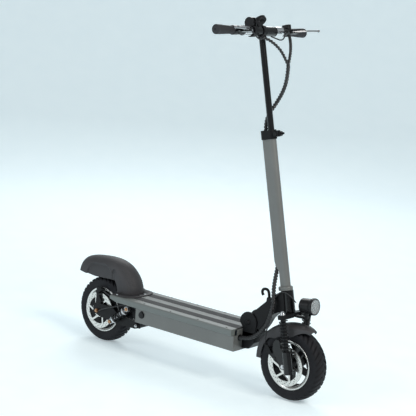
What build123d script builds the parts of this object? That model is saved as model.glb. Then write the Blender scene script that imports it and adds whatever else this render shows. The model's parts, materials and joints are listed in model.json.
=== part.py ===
from build123d import *
import os
from math import atan2, cos, degrees, hypot, radians, sin, tan

# Electric kick scooter with ten inch wheels, a telescopic column and folding handlebars.
# X points forward, Y to the rider's left, Z up. Z = 0 is the ground, and X = 0 is midway between
# the tail of the rear mudguard and the front of the front tyre. All sizes are in millimetres.

# ---- driving dimensions -------------------------------------------------------------------------
WHEELBASE = 895.0
TYRE_R = 127.0              # ten inch tyre
TYRE_W = 61.0
TREAD_FLAT = 24.0           # flat band in the middle of the tread
RIM_R = 84.5                # rim lip, where the tyre seats
RIM_W = 54.0
RIM_WALL = 6.0
RAKE = 12.66                # lean of the steering axis from upright, degrees
TRAIL = 34.0                # steering axis ahead of the front axle, at the ground
TAIL_REACH = 143.0          # rear mudguard's tail behind the rear axle
BAR_S = 1278.0              # handlebar height along the steering axis
BAR_HALF = 252.0            # from the middle to a grip's end
DECK_TOP = 213.0
DECK_HALF = 88.0
BOX_BOTTOM = 133.0
BOX_HALF = 80.0
BOX_REAR, BOX_FRONT = 222.0, 690.0          # ahead of the rear axle
RAIL_REAR, PLATE_REAR, PLATE_FRONT = 92.0, 150.0, 684.0

# ---- clearances ---------------------------------------------------------------------------------
RUN = 0.05                  # radial, a shaft that turns or slides in its bore
GAP = 0.3                   # between faces that move past each other
SEAT = 0.1                  # between parts that are assembled and stay put

# ---- wheels and brakes --------------------------------------------------------------------------
HUB_R = 24.0
AXLE_R = 5.0
NUT_R = 8.0
ROTOR_R = 70.0
ROTOR_T = 2.2
ROTOR_Y = 46.0              # middle plane of a brake disc, on the right
PLATE_IN, PLATE_OUT = 50.0, 56.0            # dropout plates, distance from the middle plane
HUB_LEFT = 34.0
CALIPER_PIVOT = 9.0

# ---- front end ----------------------------------------------------------------------------------
LEG_U, LEG_Y, LEG_R = 20.0, 66.0, 15.5
LEG_S0, LEG_S1 = 107.0, 184.0               # lower leg, along the steering axis
STANCHION_R, STANCHION_S = 9.0, 150.0
FORK_TRAVEL = 18.0
CROWN_S0, CROWN_S1 = 296.0, 309.0
HEAD_S0, HEAD_S1 = 312.0, 386.0
HEAD_R, HEAD_BORE = 22.0, 17.5
STEERER_R, STEERER_BORE = 14.0, 11.0
STEERER_TOP = 398.0
COLUMN_S0, COLUMN_S1 = 401.0, 915.0
COLUMN_R, COLUMN_BACK = 14.5, 24.0          # stadium profile: radius, and centre distance
CHANNEL_R, CHANNEL_U = 9.5, -25.0           # cable channel at the back of the column
INNER_R, INNER_BORE = 11.0, 9.0
INNER_S0 = 845.0
CLAMP_S0, CLAMP_S1, CLAMP_R = 908.0, 940.0, 17.5
GUARD_R, GUARD_T, GUARD_HALF = 140.5, 3.0, 38.0

# ---- handlebars ---------------------------------------------------------------------------------
TEE_R, TEE_HALF = 17.0, 67.0
SLEEVE_R, SLEEVE_Y0, SLEEVE_Y1 = 17.5, 70.3, 108.0
KNUCKLE_R = 14.9
HINGE_Y = 126.0             # pin of a folding handlebar half
TONGUE_HALF = 5.7
COLLAR_Y0, COLLAR_R = HINGE_Y + 15.6, 16.0
PERCH_Y1 = 161.0
BAR_R = 11.0
GRIP_R = 16.0
LEVER_U, LEVER_Y = 38.0, 132.0              # brake lever's pivot
LEVER_PIN_R = 3.0

# ---- fold, deck and rear end ---------------------------------------------------------------------
FOLD_X, FOLD_Z = 712.0, 238.0               # fold hinge, X from the rear axle
CHEEK_R, CHEEK_IN, CHEEK_OUT = 50.0, 24.0, 32.0
FOLD_PIN_R, FOLD_KNUCKLE_R = 6.0, 22.0
HOOK_X, HOOK_Z = 772.0, 330.0
ARM_HALF = 28.0
ARM_PIVOT_X, ARM_PIVOT_Z = 206.0, 112.0     # swingarm pivot
LUG_IN, LUG_OUT = 43.0, 49.0
SHOCK_Y, SHOCK_EYE_R, SHOCK_EYE_W = 72.0, 10.0, 14.0
SHOCK_LOW = (92.0, 107.0)
SHOCK_TOP = (171.0, 172.0)
SHOCK_PIN_R = 4.0
BOX_WALL = 3.0
STAND_X, STAND_Z, STAND_L = 600.0, 150.0, 145.0
PORT_X, PORT_Z, PORT_R = 253.0, 168.0, 10.0

XR = -(WHEELBASE + TYRE_R - TAIL_REACH) / 2     # rear axle's place along X
XF = XR + WHEELBASE
COLUMN = Pos(XF + TRAIL, 0, 0) * Rot(0, -RAKE, 0)   # its Z runs up the steering axis, its X forward
RIGHT, LEFT = -1, 1


# ---- helpers ------------------------------------------------------------------------------------
def world(u, y, s):
    """A point given in the column's own frame."""
    a = radians(RAKE)
    return (XF + TRAIL + u * cos(a) - s * sin(a), y, u * sin(a) + s * cos(a))


def rod_y(r, y0, y1, x, z):
    """A round bar along Y."""
    return Pos(x, (y0 + y1) / 2, z) * Rot(90, 0, 0) * Cylinder(r, abs(y1 - y0))


def rod(r, p, q):
    """A round bar from point p to point q."""
    axis = Vector(*q) - Vector(*p)
    return Plane(Vector(*p), z_dir=axis) * Pos(0, 0, axis.length / 2) * Cylinder(r, axis.length)


def pipe(r_out, r_in, s0, s1, u=0.0, y=0.0):
    """A round tube along the local Z axis."""
    middle = Pos(u, y, (s0 + s1) / 2)
    return middle * Cylinder(r_out, s1 - s0) - middle * Cylinder(r_in, s1 - s0 + 2)


def bar_z(r, s0, s1, u=0.0, y=0.0):
    """A round bar along the local Z axis."""
    return Pos(u, y, (s0 + s1) / 2) * Cylinder(r, s1 - s0)


def block(x0, x1, y0, y1, z0, z1):
    """A rectangular block between two corners."""
    return Pos((x0 + x1) / 2, (y0 + y1) / 2, (z0 + z1) / 2) * Box(x1 - x0, abs(y1 - y0), z1 - z0)


def side_plate(points, y0, y1, round_r=0.0):
    """A plate cut to an outline in the XZ plane, from y0 to y1."""
    at = [(x, y0, z) for x, z in points]
    outline = FilletPolyline(*at, radius=round_r, close=True) if round_r else Polyline(*at, close=True)
    return extrude(make_face(outline), amount=y1 - y0, dir=(0, 1, 0))


def stadium(r, back, s0, s1, u=0.0):
    """A bar of stadium section along the local Z axis, its front centre at u, the other behind it."""
    flat = Pos(u - back / 2, 0, (s0 + s1) / 2) * Box(back, 2 * r, s1 - s0)
    return flat + bar_z(r, s0, s1, u) + bar_z(r, s0, s1, u - back)


def turned(profile):
    """A solid of revolution about Y, from an outline of (radius, y) points."""
    return revolve(make_face(Polyline(*profile, close=True)), Axis.Y)


def cable(points, r):
    """A cable along straight runs that large tangent arcs join. Prints its tightest bend."""
    runs = [(Vector(*b) - Vector(*a)).length for a, b in zip(points, points[1:])]
    radii = []
    for i in range(1, len(points) - 1):
        turn = (Vector(*points[i]) - Vector(*points[i - 1])).get_angle(
            Vector(*points[i + 1]) - Vector(*points[i]))
        radii.append(0.45 * min(runs[i - 1], runs[i]) / tan(radians(turn) / 2))
    print(f"cable of radius {r}: tightest bend {min(radii):.0f} mm")
    path = FilletPolyline(*points, radius=radii)
    return sweep(Plane(path @ 0, z_dir=path % 0) * Circle(r), path=path)


def at_wheel(shape, x):
    """Moves a part made about the origin to the axle at x."""
    return Pos(x, 0, TYRE_R) * shape


# ---- wheels -------------------------------------------------------------------------------------
def tyre():
    bead, half, flat = RIM_W / 2, TYRE_W / 2, TREAD_FLAT / 2
    shoulder = ((RIM_R + TYRE_R) / 2, half)

    def side(sign):
        wall = ThreePointArc((RIM_R + 4, sign * bead), (shoulder[0] - 4, sign * shoulder[1]),
                             (TYRE_R - 7, sign * half * 0.74))
        crown = ThreePointArc((TYRE_R - 7, sign * half * 0.74), (TYRE_R - 2.4, sign * half * 0.56),
                              (TYRE_R, sign * flat))
        return Line((RIM_R, sign * bead), (RIM_R + 4, sign * bead)) + wall + crown

    skin = side(1) + side(-1) + Line((TYRE_R, flat), (TYRE_R, -flat))
    skin += Line((RIM_R, bead), (RIM_R, -bead))
    body = revolve(make_face(skin), Axis.Y)
    air = turned([(RIM_R - 1, -14), (RIM_R + 8, -20), (TYRE_R - 16, -19), (TYRE_R - 9, -10),
                  (TYRE_R - 9, 10), (TYRE_R - 16, 19), (RIM_R + 8, 20), (RIM_R - 1, 14)])
    return body - air


def rim_barrel():
    half = RIM_W / 2
    inner = RIM_R - RIM_WALL
    return turned([(inner, -half), (RIM_R, -half), (RIM_R, half), (inner, half)])


def front_rim():
    rotor_face = -(ROTOR_Y - ROTOR_T / 2)
    rim = rim_barrel() + rod_y(HUB_R, rotor_face, HUB_LEFT, 0, 0)
    spoke = Pos((HUB_R + RIM_R - RIM_WALL) / 2, 0, 0) * Box(RIM_R - RIM_WALL - HUB_R + 4, 20, 17)
    for i in range(5):
        rim += Rot(0, 72 * i + 18, 0) * spoke
    return rim - rod_y(AXLE_R + RUN, -60, 60, 0, 0)


def rear_motor():
    drum = turned([(0, -24), (RIM_R - RIM_WALL - 8, -24), (RIM_R - RIM_WALL, -20),
                   (RIM_R - RIM_WALL, 20), (RIM_R - RIM_WALL - 8, 24), (0, 24)])
    boss = rod_y(HUB_R, -(ROTOR_Y - ROTOR_T / 2), HUB_LEFT, 0, 0)
    return rim_barrel() + drum + boss - rod_y(AXLE_R + RUN, -60, 60, 0, 0)


def rotor():
    """Brake disc: a drilled ring on six slanted arms."""
    hub_hole, hub_r, ring_r, arm_w, slant = 14.0, 27.0, 53.0, 7.0, 25.0
    face, back = -ROTOR_Y - ROTOR_T / 2, -ROTOR_Y + ROTOR_T / 2
    disc = rod_y(ROTOR_R, face, back, 0, 0) - rod_y(hub_hole, -60, -30, 0, 0)
    windows = rod_y(ring_r, -60, -30, 0, 0) - rod_y(hub_r, -61, -29, 0, 0)
    arm = Pos((hub_r + ring_r) / 2, -ROTOR_Y, 0) * Rot(0, slant, 0) * Box(ring_r - hub_r + 16, 40, arm_w)
    for i in range(6):
        windows -= Rot(0, 60 * i, 0) * arm
    disc -= windows
    holes = [(56.5, 0.0), (61.0, 6.7), (65.5, 13.3)]
    for r, lead in holes:
        for i in range(18):
            disc -= Rot(0, 20 * i + lead, 0) * rod_y(1.9, -60, -30, r, 0)
    for i in range(6):
        disc -= Rot(0, 60 * i + 30, 0) * rod_y(2.6, -60, -30, 19.0, 0)
    return disc


def axle(end_y):
    """Axle with its two spacers and end nuts, tightened as one."""
    shaft = rod_y(AXLE_R, -end_y, end_y, 0, 0)
    shaft += rod_y(NUT_R, -PLATE_IN, -(ROTOR_Y - ROTOR_T / 2) - GAP, 0, 0)
    shaft += rod_y(NUT_R, HUB_LEFT + GAP, PLATE_IN, 0, 0)
    for side in (RIGHT, LEFT):
        shaft += Pos(0, side * (PLATE_OUT + 4), 0) * Rot(90, 0, 0) * extrude(
            RegularPolygon(NUT_R, 6), amount=4, both=True)
    return shaft


# ---- brakes -------------------------------------------------------------------------------------
CALIPER_W, CALIPER_L = 30.0, 40.0


def caliper():
    """A caliper that straddles the disc's edge, made at the top of the disc."""
    y_in, y_out = -34.0, -PLATE_IN
    body = block(-CALIPER_W / 2, CALIPER_W / 2, y_out, y_in, ROTOR_R - 22, ROTOR_R + CALIPER_L - 22)
    body = fillet(body.edges().filter_by(Axis.Y), 5)
    slot = 0.7
    body -= block(-CALIPER_W, CALIPER_W, -ROTOR_Y - ROTOR_T / 2 - slot, -ROTOR_Y + ROTOR_T / 2 + slot,
                  0, ROTOR_R + 4)
    boss = rod_y(CALIPER_PIVOT, y_out - 7, y_out, 0, ROTOR_R + 4)
    return body + boss


def caliper_arm():
    """The lever on the caliper's side that the brake cable pulls."""
    y_face = -PLATE_IN - 7 - GAP
    arm = side_plate([(-7, -7), (7, -7), (6, 34), (-6, 34)], y_face - 4, y_face, 3)
    bolt = rod_y(3.5, y_face - 8, y_face - 4, 0, 28)
    return Pos(0, 0, ROTOR_R + 4) * (arm + bolt)


FRONT_CALIPER_TURN, REAR_CALIPER_TURN = -58.0, -2.0
FRONT_ARM_TURN, REAR_ARM_TURN = 22.0, 50.0


def placed_caliper(shape, turn, x):
    return at_wheel(Rot(0, turn, 0) * shape, x)


def placed_arm(turn, arm_turn, x):
    pivot = Pos(0, 0, ROTOR_R + 4)
    return at_wheel(Rot(0, turn, 0) * pivot * Rot(0, arm_turn, 0) * pivot.inverse() * caliper_arm(), x)


# ---- front fork ---------------------------------------------------------------------------------
def fork_lowers():
    legs = []
    for side in (RIGHT, LEFT):
        leg = COLUMN * (bar_z(LEG_R, LEG_S0, LEG_S1, LEG_U, side * LEG_Y)
                        - bar_z(STANCHION_R + RUN, STANCHION_S - 2 * FORK_TRAVEL + 8, LEG_S1 + 1,
                                LEG_U, side * LEG_Y))
        ys = sorted((side * PLATE_IN, side * PLATE_OUT))
        outline = [(-13, -12), (14, -14), (20, 20), (8, 46), (-20, 60), (-26, 86), (-42, 86), (-52, 70),
                   (-52, 46), (-36, 24)]
        plate = side_plate([(XF + x, TYRE_R + z) for x, z in outline], *ys, 5)
        legs.append(leg + plate - rod_y(AXLE_R + SEAT, -90, 90, XF, TYRE_R)
                    - rod_y(NUT_R + GAP, side * PLATE_OUT, side * (PLATE_OUT + 9), XF, TYRE_R))
    return Compound(children=legs)


def fork_springs():
    coils = [COLUMN * pipe(16.5, STANCHION_R + 1, LEG_S1, CROWN_S0, LEG_U, side * LEG_Y)
             for side in (RIGHT, LEFT)]
    return Compound(children=coils)


LAMP_R, LAMP_L, LAMP_BODY_R = 29.0, 54.0, 26.0
LAMP_X, LAMP_Z, LAMP_TILT = XF + 16.0, 338.0, 6.0     # middle of the lamp's back face
LAMP_PIVOT = (XF + 44.0, 300.5)
LAMP = Pos(LAMP_X, 0, LAMP_Z) * Rot(0, 90 - LAMP_TILT, 0)


def fork_crown():
    ends = [(LEG_U, LEG_Y, 17.5), (LEG_U, -LEG_Y, 17.5), (0, 0, 25.0)]
    rounds = Sketch() + [Pos(u, y) * Circle(r) for u, y, r in ends]
    crown = extrude(Pos(0, 0, CROWN_S0) * make_face(make_hull(rounds.edges()).edges()),
                    amount=CROWN_S1 - CROWN_S0)
    crown += pipe(STEERER_R, STEERER_BORE, CROWN_S0, STEERER_TOP)
    crown += pipe(19.0, STEERER_BORE, CROWN_S1, HEAD_S0 - GAP)
    for side in (RIGHT, LEFT):
        crown += bar_z(STANCHION_R, STANCHION_S, CROWN_S0, LEG_U, side * LEG_Y)
        crown += bar_z(6.0, CROWN_S1, CROWN_S1 + 6, LEG_U, side * LEG_Y)
    crown -= bar_z(STEERER_BORE, CROWN_S0 - 1, STEERER_TOP + 1)
    crown -= bar_z(30, CROWN_S0 - 1, CROWN_S1 + 1, 54)
    x, z = LAMP_PIVOT
    lamp_lug = side_plate([(XF - 20, 293), (XF + 10, 293), (x + 5, z - 5), (x + 5, z + 5),
                           (x - 24, z + 1), (XF - 5, 299.5), (XF - 12, 303), (XF - 20, 303)], -7, 7)
    return COLUMN * crown + lamp_lug - rod_y(2.5 + RUN, -20, 20, *LAMP_PIVOT)


def headlight():
    can = bar_z(LAMP_BODY_R, 4, LAMP_L - 14) + Pos(0, 0, 2) * Cone(LAMP_BODY_R - 5, LAMP_BODY_R, 4)
    can += Pos(0, 0, LAMP_L - 12) * Cone(LAMP_BODY_R, LAMP_R, 4) + bar_z(LAMP_R, LAMP_L - 10, LAMP_L)
    can -= bar_z(LAMP_R - 3, LAMP_L - 6, LAMP_L + 1)
    can = LAMP * can
    x, z = LAMP_PIVOT
    for side in (RIGHT, LEFT):
        ys = sorted((side * (7 + GAP), side * 10))
        ear = side_plate([(x - 5, z - 5), (x + 5, z - 5), (x + 8, z + 20), (x - 8, z + 18)], *ys)
        can += ear - LAMP * bar_z(LAMP_R - 3, LAMP_L - 6, LAMP_L + 1)
    return can + rod_y(2.5, -10, 10, x, z)


def headlight_lens():
    return LAMP * bar_z(LAMP_R - 3 - SEAT, LAMP_L - 6 + SEAT, LAMP_L - 1)


def front_fender():
    """Mudguard over the front wheel, with two side tabs to the dropout plates."""
    outer = GUARD_R + GUARD_T
    inner_half = GUARD_HALF - GUARD_T
    shell = [(GUARD_R - 14, -GUARD_HALF), (outer - 5, -GUARD_HALF), (outer, -GUARD_HALF + 8),
             (outer, GUARD_HALF - 8), (outer - 5, GUARD_HALF), (GUARD_R - 14, GUARD_HALF),
             (GUARD_R - 14, inner_half), (GUARD_R - 3, inner_half), (GUARD_R, inner_half - 5),
             (GUARD_R, -inner_half + 5), (GUARD_R - 3, -inner_half), (GUARD_R - 14, -inner_half)]
    front_angle, rear_angle = 58.0, 181.0
    arc = revolve(make_face(Polyline(*shell, close=True)), Axis.Y, rear_angle - front_angle)
    guard = at_wheel(Rot(0, -front_angle, 0) * Rot(0, -(rear_angle - front_angle), 0) * arc, XF)
    for side in (RIGHT, LEFT):
        ys = sorted((side * inner_half, side * GUARD_HALF))
        tab = side_plate([(XF - 44, TYRE_R + 74), (XF - 22, TYRE_R + 74), (XF - 18, TYRE_R + 128),
                          (XF - 60, TYRE_R + 114)], *ys)
        ys = sorted((side * inner_half, side * (PLATE_IN - SEAT)))
        guard += tab + block(XF - 42, XF - 26, *ys, TYRE_R + 74, TYRE_R + 84)
    return guard


# ---- head tube, column and clamp -----------------------------------------------------------------
def head_tube():
    return COLUMN * pipe(HEAD_R, HEAD_BORE, HEAD_S0, HEAD_S1)


def headset_bearings():
    depth = 10.0
    ends = [(HEAD_S0, HEAD_S0 + depth), (HEAD_S1 - depth, HEAD_S1)]
    return Compound(children=[COLUMN * pipe(HEAD_BORE, STEERER_R + RUN, *e) for e in ends])


def column_collar():
    ring = stadium(HEAD_R - 1, 10, HEAD_S1 + 1, COLUMN_S0)
    ring = fillet(ring.edges().group_by(Axis.Z)[-1], 5)
    return COLUMN * (ring - bar_z(STEERER_R, HEAD_S1, COLUMN_S0 + 1))


def column():
    tube = stadium(COLUMN_R, COLUMN_BACK, COLUMN_S0, COLUMN_S1)
    tube -= bar_z(INNER_R + RUN, COLUMN_S0 - 1, COLUMN_S1 + 1)
    tube -= bar_z(CHANNEL_R, COLUMN_S0 - 1, COLUMN_S1 + 1, CHANNEL_U)
    mouth = extrude(make_face(Polyline((-16, -30, COLUMN_S0 - 1), (-16, -30, COLUMN_S0 + 50),
                                       (-45, -30, COLUMN_S0 + 110), (-45, -30, COLUMN_S0 - 1),
                                       close=True)), amount=60, dir=(0, 1, 0))
    return COLUMN * (tube - mouth)


LUG_U0, LUG_U1, LUG_BOLT_U = 12.0, 30.0, 23.0


def column_clamp():
    clamp = stadium(CLAMP_R, COLUMN_BACK, CLAMP_S0, CLAMP_S1)
    lugs = block(LUG_U0, LUG_U1, -11, 11, CLAMP_S0 + 6, CLAMP_S1 - 4)
    clamp += fillet(lugs.edges().filter_by(Axis.Y), 3)
    clamp -= stadium(COLUMN_R, COLUMN_BACK, CLAMP_S0 - 1, COLUMN_S1)
    clamp -= bar_z(INNER_R + RUN, CLAMP_S0, CLAMP_S1 + 1)
    clamp -= bar_z(CHANNEL_R, CLAMP_S0, CLAMP_S1 + 1, CHANNEL_U)
    clamp -= block(10, LUG_U1 + 1, -1.5, 1.5, CLAMP_S0 - 1, CLAMP_S1 + 1)
    middle = (CLAMP_S0 + CLAMP_S1) / 2
    return COLUMN * (clamp - rod_y(3 + RUN, -20, 20, LUG_BOLT_U, middle))


def clamp_knob():
    """Knob and bolt that draw the clamp's lugs together."""
    middle = (CLAMP_S0 + CLAMP_S1) / 2
    knob = rod_y(3, -11, 13, LUG_BOLT_U, middle) + rod_y(6.5, -16, -11 - GAP, LUG_BOLT_U, middle)
    grip = rod_y(9, 11 + GAP, 24, LUG_BOLT_U, middle)
    wing = block(LUG_BOLT_U - 14, LUG_BOLT_U + 14, 18.5, 24, middle - 3.5, middle + 3.5)
    return COLUMN * (knob + grip + wing)


def inner_column():
    return COLUMN * pipe(INNER_R, INNER_BORE, INNER_S0, BAR_S - 8)


# ---- handlebars ---------------------------------------------------------------------------------
BAR = COLUMN * Pos(0, 0, BAR_S)      # frame on the handlebar's axis: X forward, Y left, Z up


def tee():
    core_end = HINGE_Y - KNUCKLE_R - 0.6
    body = rod_y(TEE_R, -TEE_HALF, TEE_HALF, 0, 0) + bar_z(TEE_R - 2, -26, 0)
    for side in (RIGHT, LEFT):
        body += rod_y(KNUCKLE_R, side * TEE_HALF, side * core_end, 0, 0)
        cheeks = rod_y(KNUCKLE_R, side * core_end, side * (HINGE_Y + KNUCKLE_R), 0, 0)
        cheeks -= block(-TONGUE_HALF - GAP, TONGUE_HALF + GAP, side * (core_end + 0.01),
                        side * (HINGE_Y + 20), -20, 20)
        reach = Pos(0, side * HINGE_Y, 0) * Rot(0, 90, 0) * Cylinder(KNUCKLE_R, 60)
        ys = sorted((side * core_end, side * HINGE_Y))
        reach += block(-30, 30, *ys, -20, 20)
        body += cheeks & reach
        body += Pos(0, side * HINGE_Y, 0) * Rot(0, 90, 0) * Cylinder(3, 2 * TONGUE_HALF + 2)
    body -= bar_z(INNER_R, -30, -8)
    return BAR * body


def lock_sleeve(side):
    sleeve = rod_y(SLEEVE_R, side * SLEEVE_Y0, side * SLEEVE_Y1, 0, 0)
    return BAR * (sleeve - rod_y(KNUCKLE_R + RUN, -HINGE_Y, HINGE_Y, 0, 0))


def handlebar(side):
    """Folding half: tongue, collar, brake perch and the tube that carries the grip."""
    tongue = Pos(0, side * HINGE_Y, 0) * Rot(0, 90, 0) * Cylinder(KNUCKLE_R - 0.5, 2 * TONGUE_HALF)
    ys = sorted((side * HINGE_Y, side * (COLLAR_Y0 + 1)))
    tongue += block(-TONGUE_HALF, TONGUE_HALF, *ys, -KNUCKLE_R + 0.5, KNUCKLE_R - 0.5)
    bar = tongue + rod_y(COLLAR_R, side * COLLAR_Y0, side * PERCH_Y1, 0, 0)
    bar += rod_y(BAR_R, side * PERCH_Y1, side * (BAR_HALF - 3), 0, 0)
    ys = sorted((side * (COLLAR_Y0 + 1), side * PERCH_Y1))
    bar += block(8, 30, *ys, -7, 3)
    ys = sorted((side * (LEVER_Y - 8), side * (PERCH_Y1 - 4)))
    for z0, z1 in ((-11, -7 - GAP), (-2 + GAP, 2)):
        ear = block(28, LEVER_U + 7, *ys, z0, z1)
        bar += fillet(ear.edges().filter_by(Axis.Z), 3)
    bar += Pos(LEVER_U, side * LEVER_Y, -4.5) * Cylinder(LEVER_PIN_R, 8)
    bar += rod_y(4.5, side * (LEVER_Y - 30), side * (LEVER_Y - 9), LEVER_U - 6, -9 + 4.5)
    bar += Pos(LEVER_U - 6, side * (LEVER_Y - 9), -4.5) * Box(9, 4, 13)
    bore = Pos(0, side * HINGE_Y, 0) * Rot(0, 90, 0) * Cylinder(3 + RUN, 40)
    return BAR * (bar - bore)


def grip(side):
    body = rod_y(GRIP_R, side * (PERCH_Y1 + SEAT), side * (BAR_HALF - 8), 0, 0)
    body += Pos(0, side * (BAR_HALF - 4), 0) * Rot(-90 * side, 0, 0) * Cone(GRIP_R, GRIP_R - 5, 8)
    body += rod_y(GRIP_R + 1.5, side * (BAR_HALF - 26), side * (BAR_HALF - 10), 0, 0)
    return BAR * (body - rod_y(BAR_R, side * PERCH_Y1, side * (BAR_HALF - 3), 0, 0))


def brake_lever(side):
    """Two-finger lever with a ball end, swung back towards the grip."""
    hub = Pos(LEVER_U, side * LEVER_Y, -4.5) * Cylinder(7, 4.4)
    a = Vector(LEVER_U + 2, side * (LEVER_Y + 4), -4.5)
    b = Vector(LEVER_U + 26, side * (LEVER_Y + 46), -4.5)
    c = Vector(LEVER_U + 36, side * (BAR_HALF - 16), -4.5)
    blade = FilletPolyline(a, b, c, radius=40)
    bar = sweep(Plane(blade @ 0, z_dir=blade % 0) * Rectangle(9, 4.4), path=blade)
    lever = hub + bar + Pos(c.X, c.Y, c.Z) * Sphere(5)
    return BAR * (lever - Pos(LEVER_U, side * LEVER_Y, -4.5) * Cylinder(LEVER_PIN_R + RUN, 20))


DISPLAY_Z = 34.0
DISPLAY = BAR * Pos(-6, 0, DISPLAY_Z) * Rot(0, -32, 0)
THROTTLE_Y = -52.0
TRIGGER_U, TRIGGER_S = 8.0, 27.0


def display():
    case = bar_z(27, -7, 6) - bar_z(24, 5, 7)
    case = fillet(case.edges().filter_by(GeomType.CIRCLE).group_by(Axis.Z)[0], 4)
    case -= bar_z(3.2, 0, 8, -17, 0)
    foot = BAR * (rod_y(TEE_R + 3.5, -9, 9, 0, 0) + block(-10, 2, -9, 9, 8, DISPLAY_Z))
    foot -= BAR * (rod_y(TEE_R, -10, 10, 0, 0) + bar_z(TEE_R - 2, -40, 0))
    return DISPLAY * case + (foot - DISPLAY * bar_z(26.9, -7, 40))


def display_button():
    return DISPLAY * (bar_z(3.1, 3.2, 6.4, -17, 0))


def throttle_body():
    ring = rod_y(TEE_R + 4, THROTTLE_Y - 9, THROTTLE_Y + 9, 0, 0)
    pod = Pos(-2, THROTTLE_Y, 28) * Rot(90, 0, 0) * Cylinder(19, 22)
    body = ring + pod + block(-10, 10, THROTTLE_Y - 9, THROTTLE_Y + 9, 10, 26)
    body = body - rod_y(TEE_R, THROTTLE_Y - 12, THROTTLE_Y + 12, 0, 0)
    slot = Pos(TRIGGER_U, THROTTLE_Y, TRIGGER_S) * Rot(90, 0, 0) * Cylinder(16, 9)
    return BAR * (body - slot + rod_y(2, THROTTLE_Y - 5, THROTTLE_Y + 5, TRIGGER_U, TRIGGER_S))


def throttle_trigger():
    hub = Pos(TRIGGER_U, THROTTLE_Y, TRIGGER_S) * Rot(90, 0, 0) * Cylinder(5, 8)
    finger = side_plate([(TRIGGER_U, TRIGGER_S + 4), (TRIGGER_U + 26, TRIGGER_S + 1),
                         (TRIGGER_U + 31, TRIGGER_S - 20), (TRIGGER_U + 25, TRIGGER_S - 20),
                         (TRIGGER_U + 20, TRIGGER_S - 5), (TRIGGER_U, TRIGGER_S - 4)],
                        THROTTLE_Y - 4, THROTTLE_Y + 4, 1.5)
    return BAR * (hub + finger - rod_y(2 + RUN, -80, 0, TRIGGER_U, TRIGGER_S))


SWITCH_Y = 151.0
HORN_Y, HORN_U, HORN_R = SWITCH_Y + 2, -4.0, 4.5


def switch_box():
    pod = block(-16, 14, SWITCH_Y - 9, SWITCH_Y + 9, 4, 26)
    pod = fillet(pod.edges().filter_by(Axis.Z), 4)
    pod -= rod_y(COLLAR_R, 0, BAR_HALF, 0, 0)
    pod -= bar_z(HORN_R + RUN, 21, 30, HORN_U, HORN_Y)
    return BAR * pod


def horn_button():
    return BAR * bar_z(HORN_R, 23, 27.5, HORN_U, HORN_Y)


# ---- neck and fold ------------------------------------------------------------------------------
def neck_arm():
    """Box-section arm from the fold's knuckle up to the head tube."""
    outline = [(736, 287), (808, 354), (840, 376), (858, 305), (834, 299.5), (809, 286), (786, 262),
               (772, 236), (760, 216), (748, 250)]
    arm = side_plate([(XR + x, z) for x, z in outline], -ARM_HALF, ARM_HALF)
    arm = arm - rod_y(CHEEK_R + 2, -40, 40, XR + FOLD_X, FOLD_Z)
    half = CHEEK_IN - GAP
    web = [(712, 222), (712, 258), (744, 286), (762, 270), (764, 225)]
    arm += side_plate([(XR + x, z) for x, z in web], -half, half)
    arm += rod_y(FOLD_KNUCKLE_R, -half, half, XR + FOLD_X, FOLD_Z)
    arm -= COLUMN * bar_z(HEAD_R, HEAD_S0 - 20, HEAD_S1 + 20)
    for side in (RIGHT, LEFT):
        ys = sorted((side * (4 + GAP), side * 8))
        ear = [(HOOK_X - 8, HOOK_Z - 22), (HOOK_X + 16, HOOK_Z - 6), (HOOK_X + 6, HOOK_Z + 6),
               (HOOK_X - 5, HOOK_Z + 6)]
        arm += side_plate([(XR + x, z) for x, z in ear], *ys)
    arm -= rod_y(7.5, -4 - GAP, 4 + GAP, XR + HOOK_X, HOOK_Z)
    arm += rod_y(2.5, -8, 8, XR + HOOK_X, HOOK_Z)
    return arm - rod_y(FOLD_PIN_R + RUN, -40, 40, XR + FOLD_X, FOLD_Z)


def hook_lever():
    """Curled release hook on top of the neck."""
    x, z = XR + HOOK_X, HOOK_Z
    curl = FilletPolyline((x, 0, z), (x - 2, 0, z + 18), (x - 12, 0, z + 30), (x - 28, 0, z + 27),
                          (x - 31, 0, z + 13), (x - 22, 0, z + 8), radius=6)
    hook = sweep(Plane(curl @ 0, z_dir=curl % 0) * Circle(3.6), path=curl)
    hook += rod_y(6.5, -4, 4, x, z)
    return hook - rod_y(2.5 + RUN, -20, 20, x, z)


def hinge_base():
    """Casting on the front of the battery box, with the two cheeks of the fold hinge."""
    outline = [(BOX_FRONT, 138), (722, 143), (742, 168), (752, 206), (BOX_FRONT, 206)]
    base = side_plate([(XR + x, z) for x, z in outline], -CHEEK_OUT, CHEEK_OUT)
    for side in (RIGHT, LEFT):
        base += rod_y(CHEEK_R, side * CHEEK_IN, side * CHEEK_OUT, XR + FOLD_X, FOLD_Z)
    base -= rod_y(FOLD_PIN_R, -40, 40, XR + FOLD_X, FOLD_Z)
    base -= block(XR + 600, XR + BOX_FRONT, -60, 60, 100, DECK_TOP + 1.2)
    return base


# ---- deck ---------------------------------------------------------------------------------------
RAIL_W, RAIL_H, PLATE_T = 22.0, 24.0, 4.0
TIP_H, TIP_L = 13.0, 46.0            # tapered rear tips of the rails
STRIP_Y0, STRIP_Y1, STRIP_T = 18.5, 55.0, 2.0
SCREW_Y = 78.0
SCREW_X = (261.0, 391.0, 522.0, 654.0)
SCREW_R, SCREW_HEAD_R = 2.5, 4.6


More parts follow.
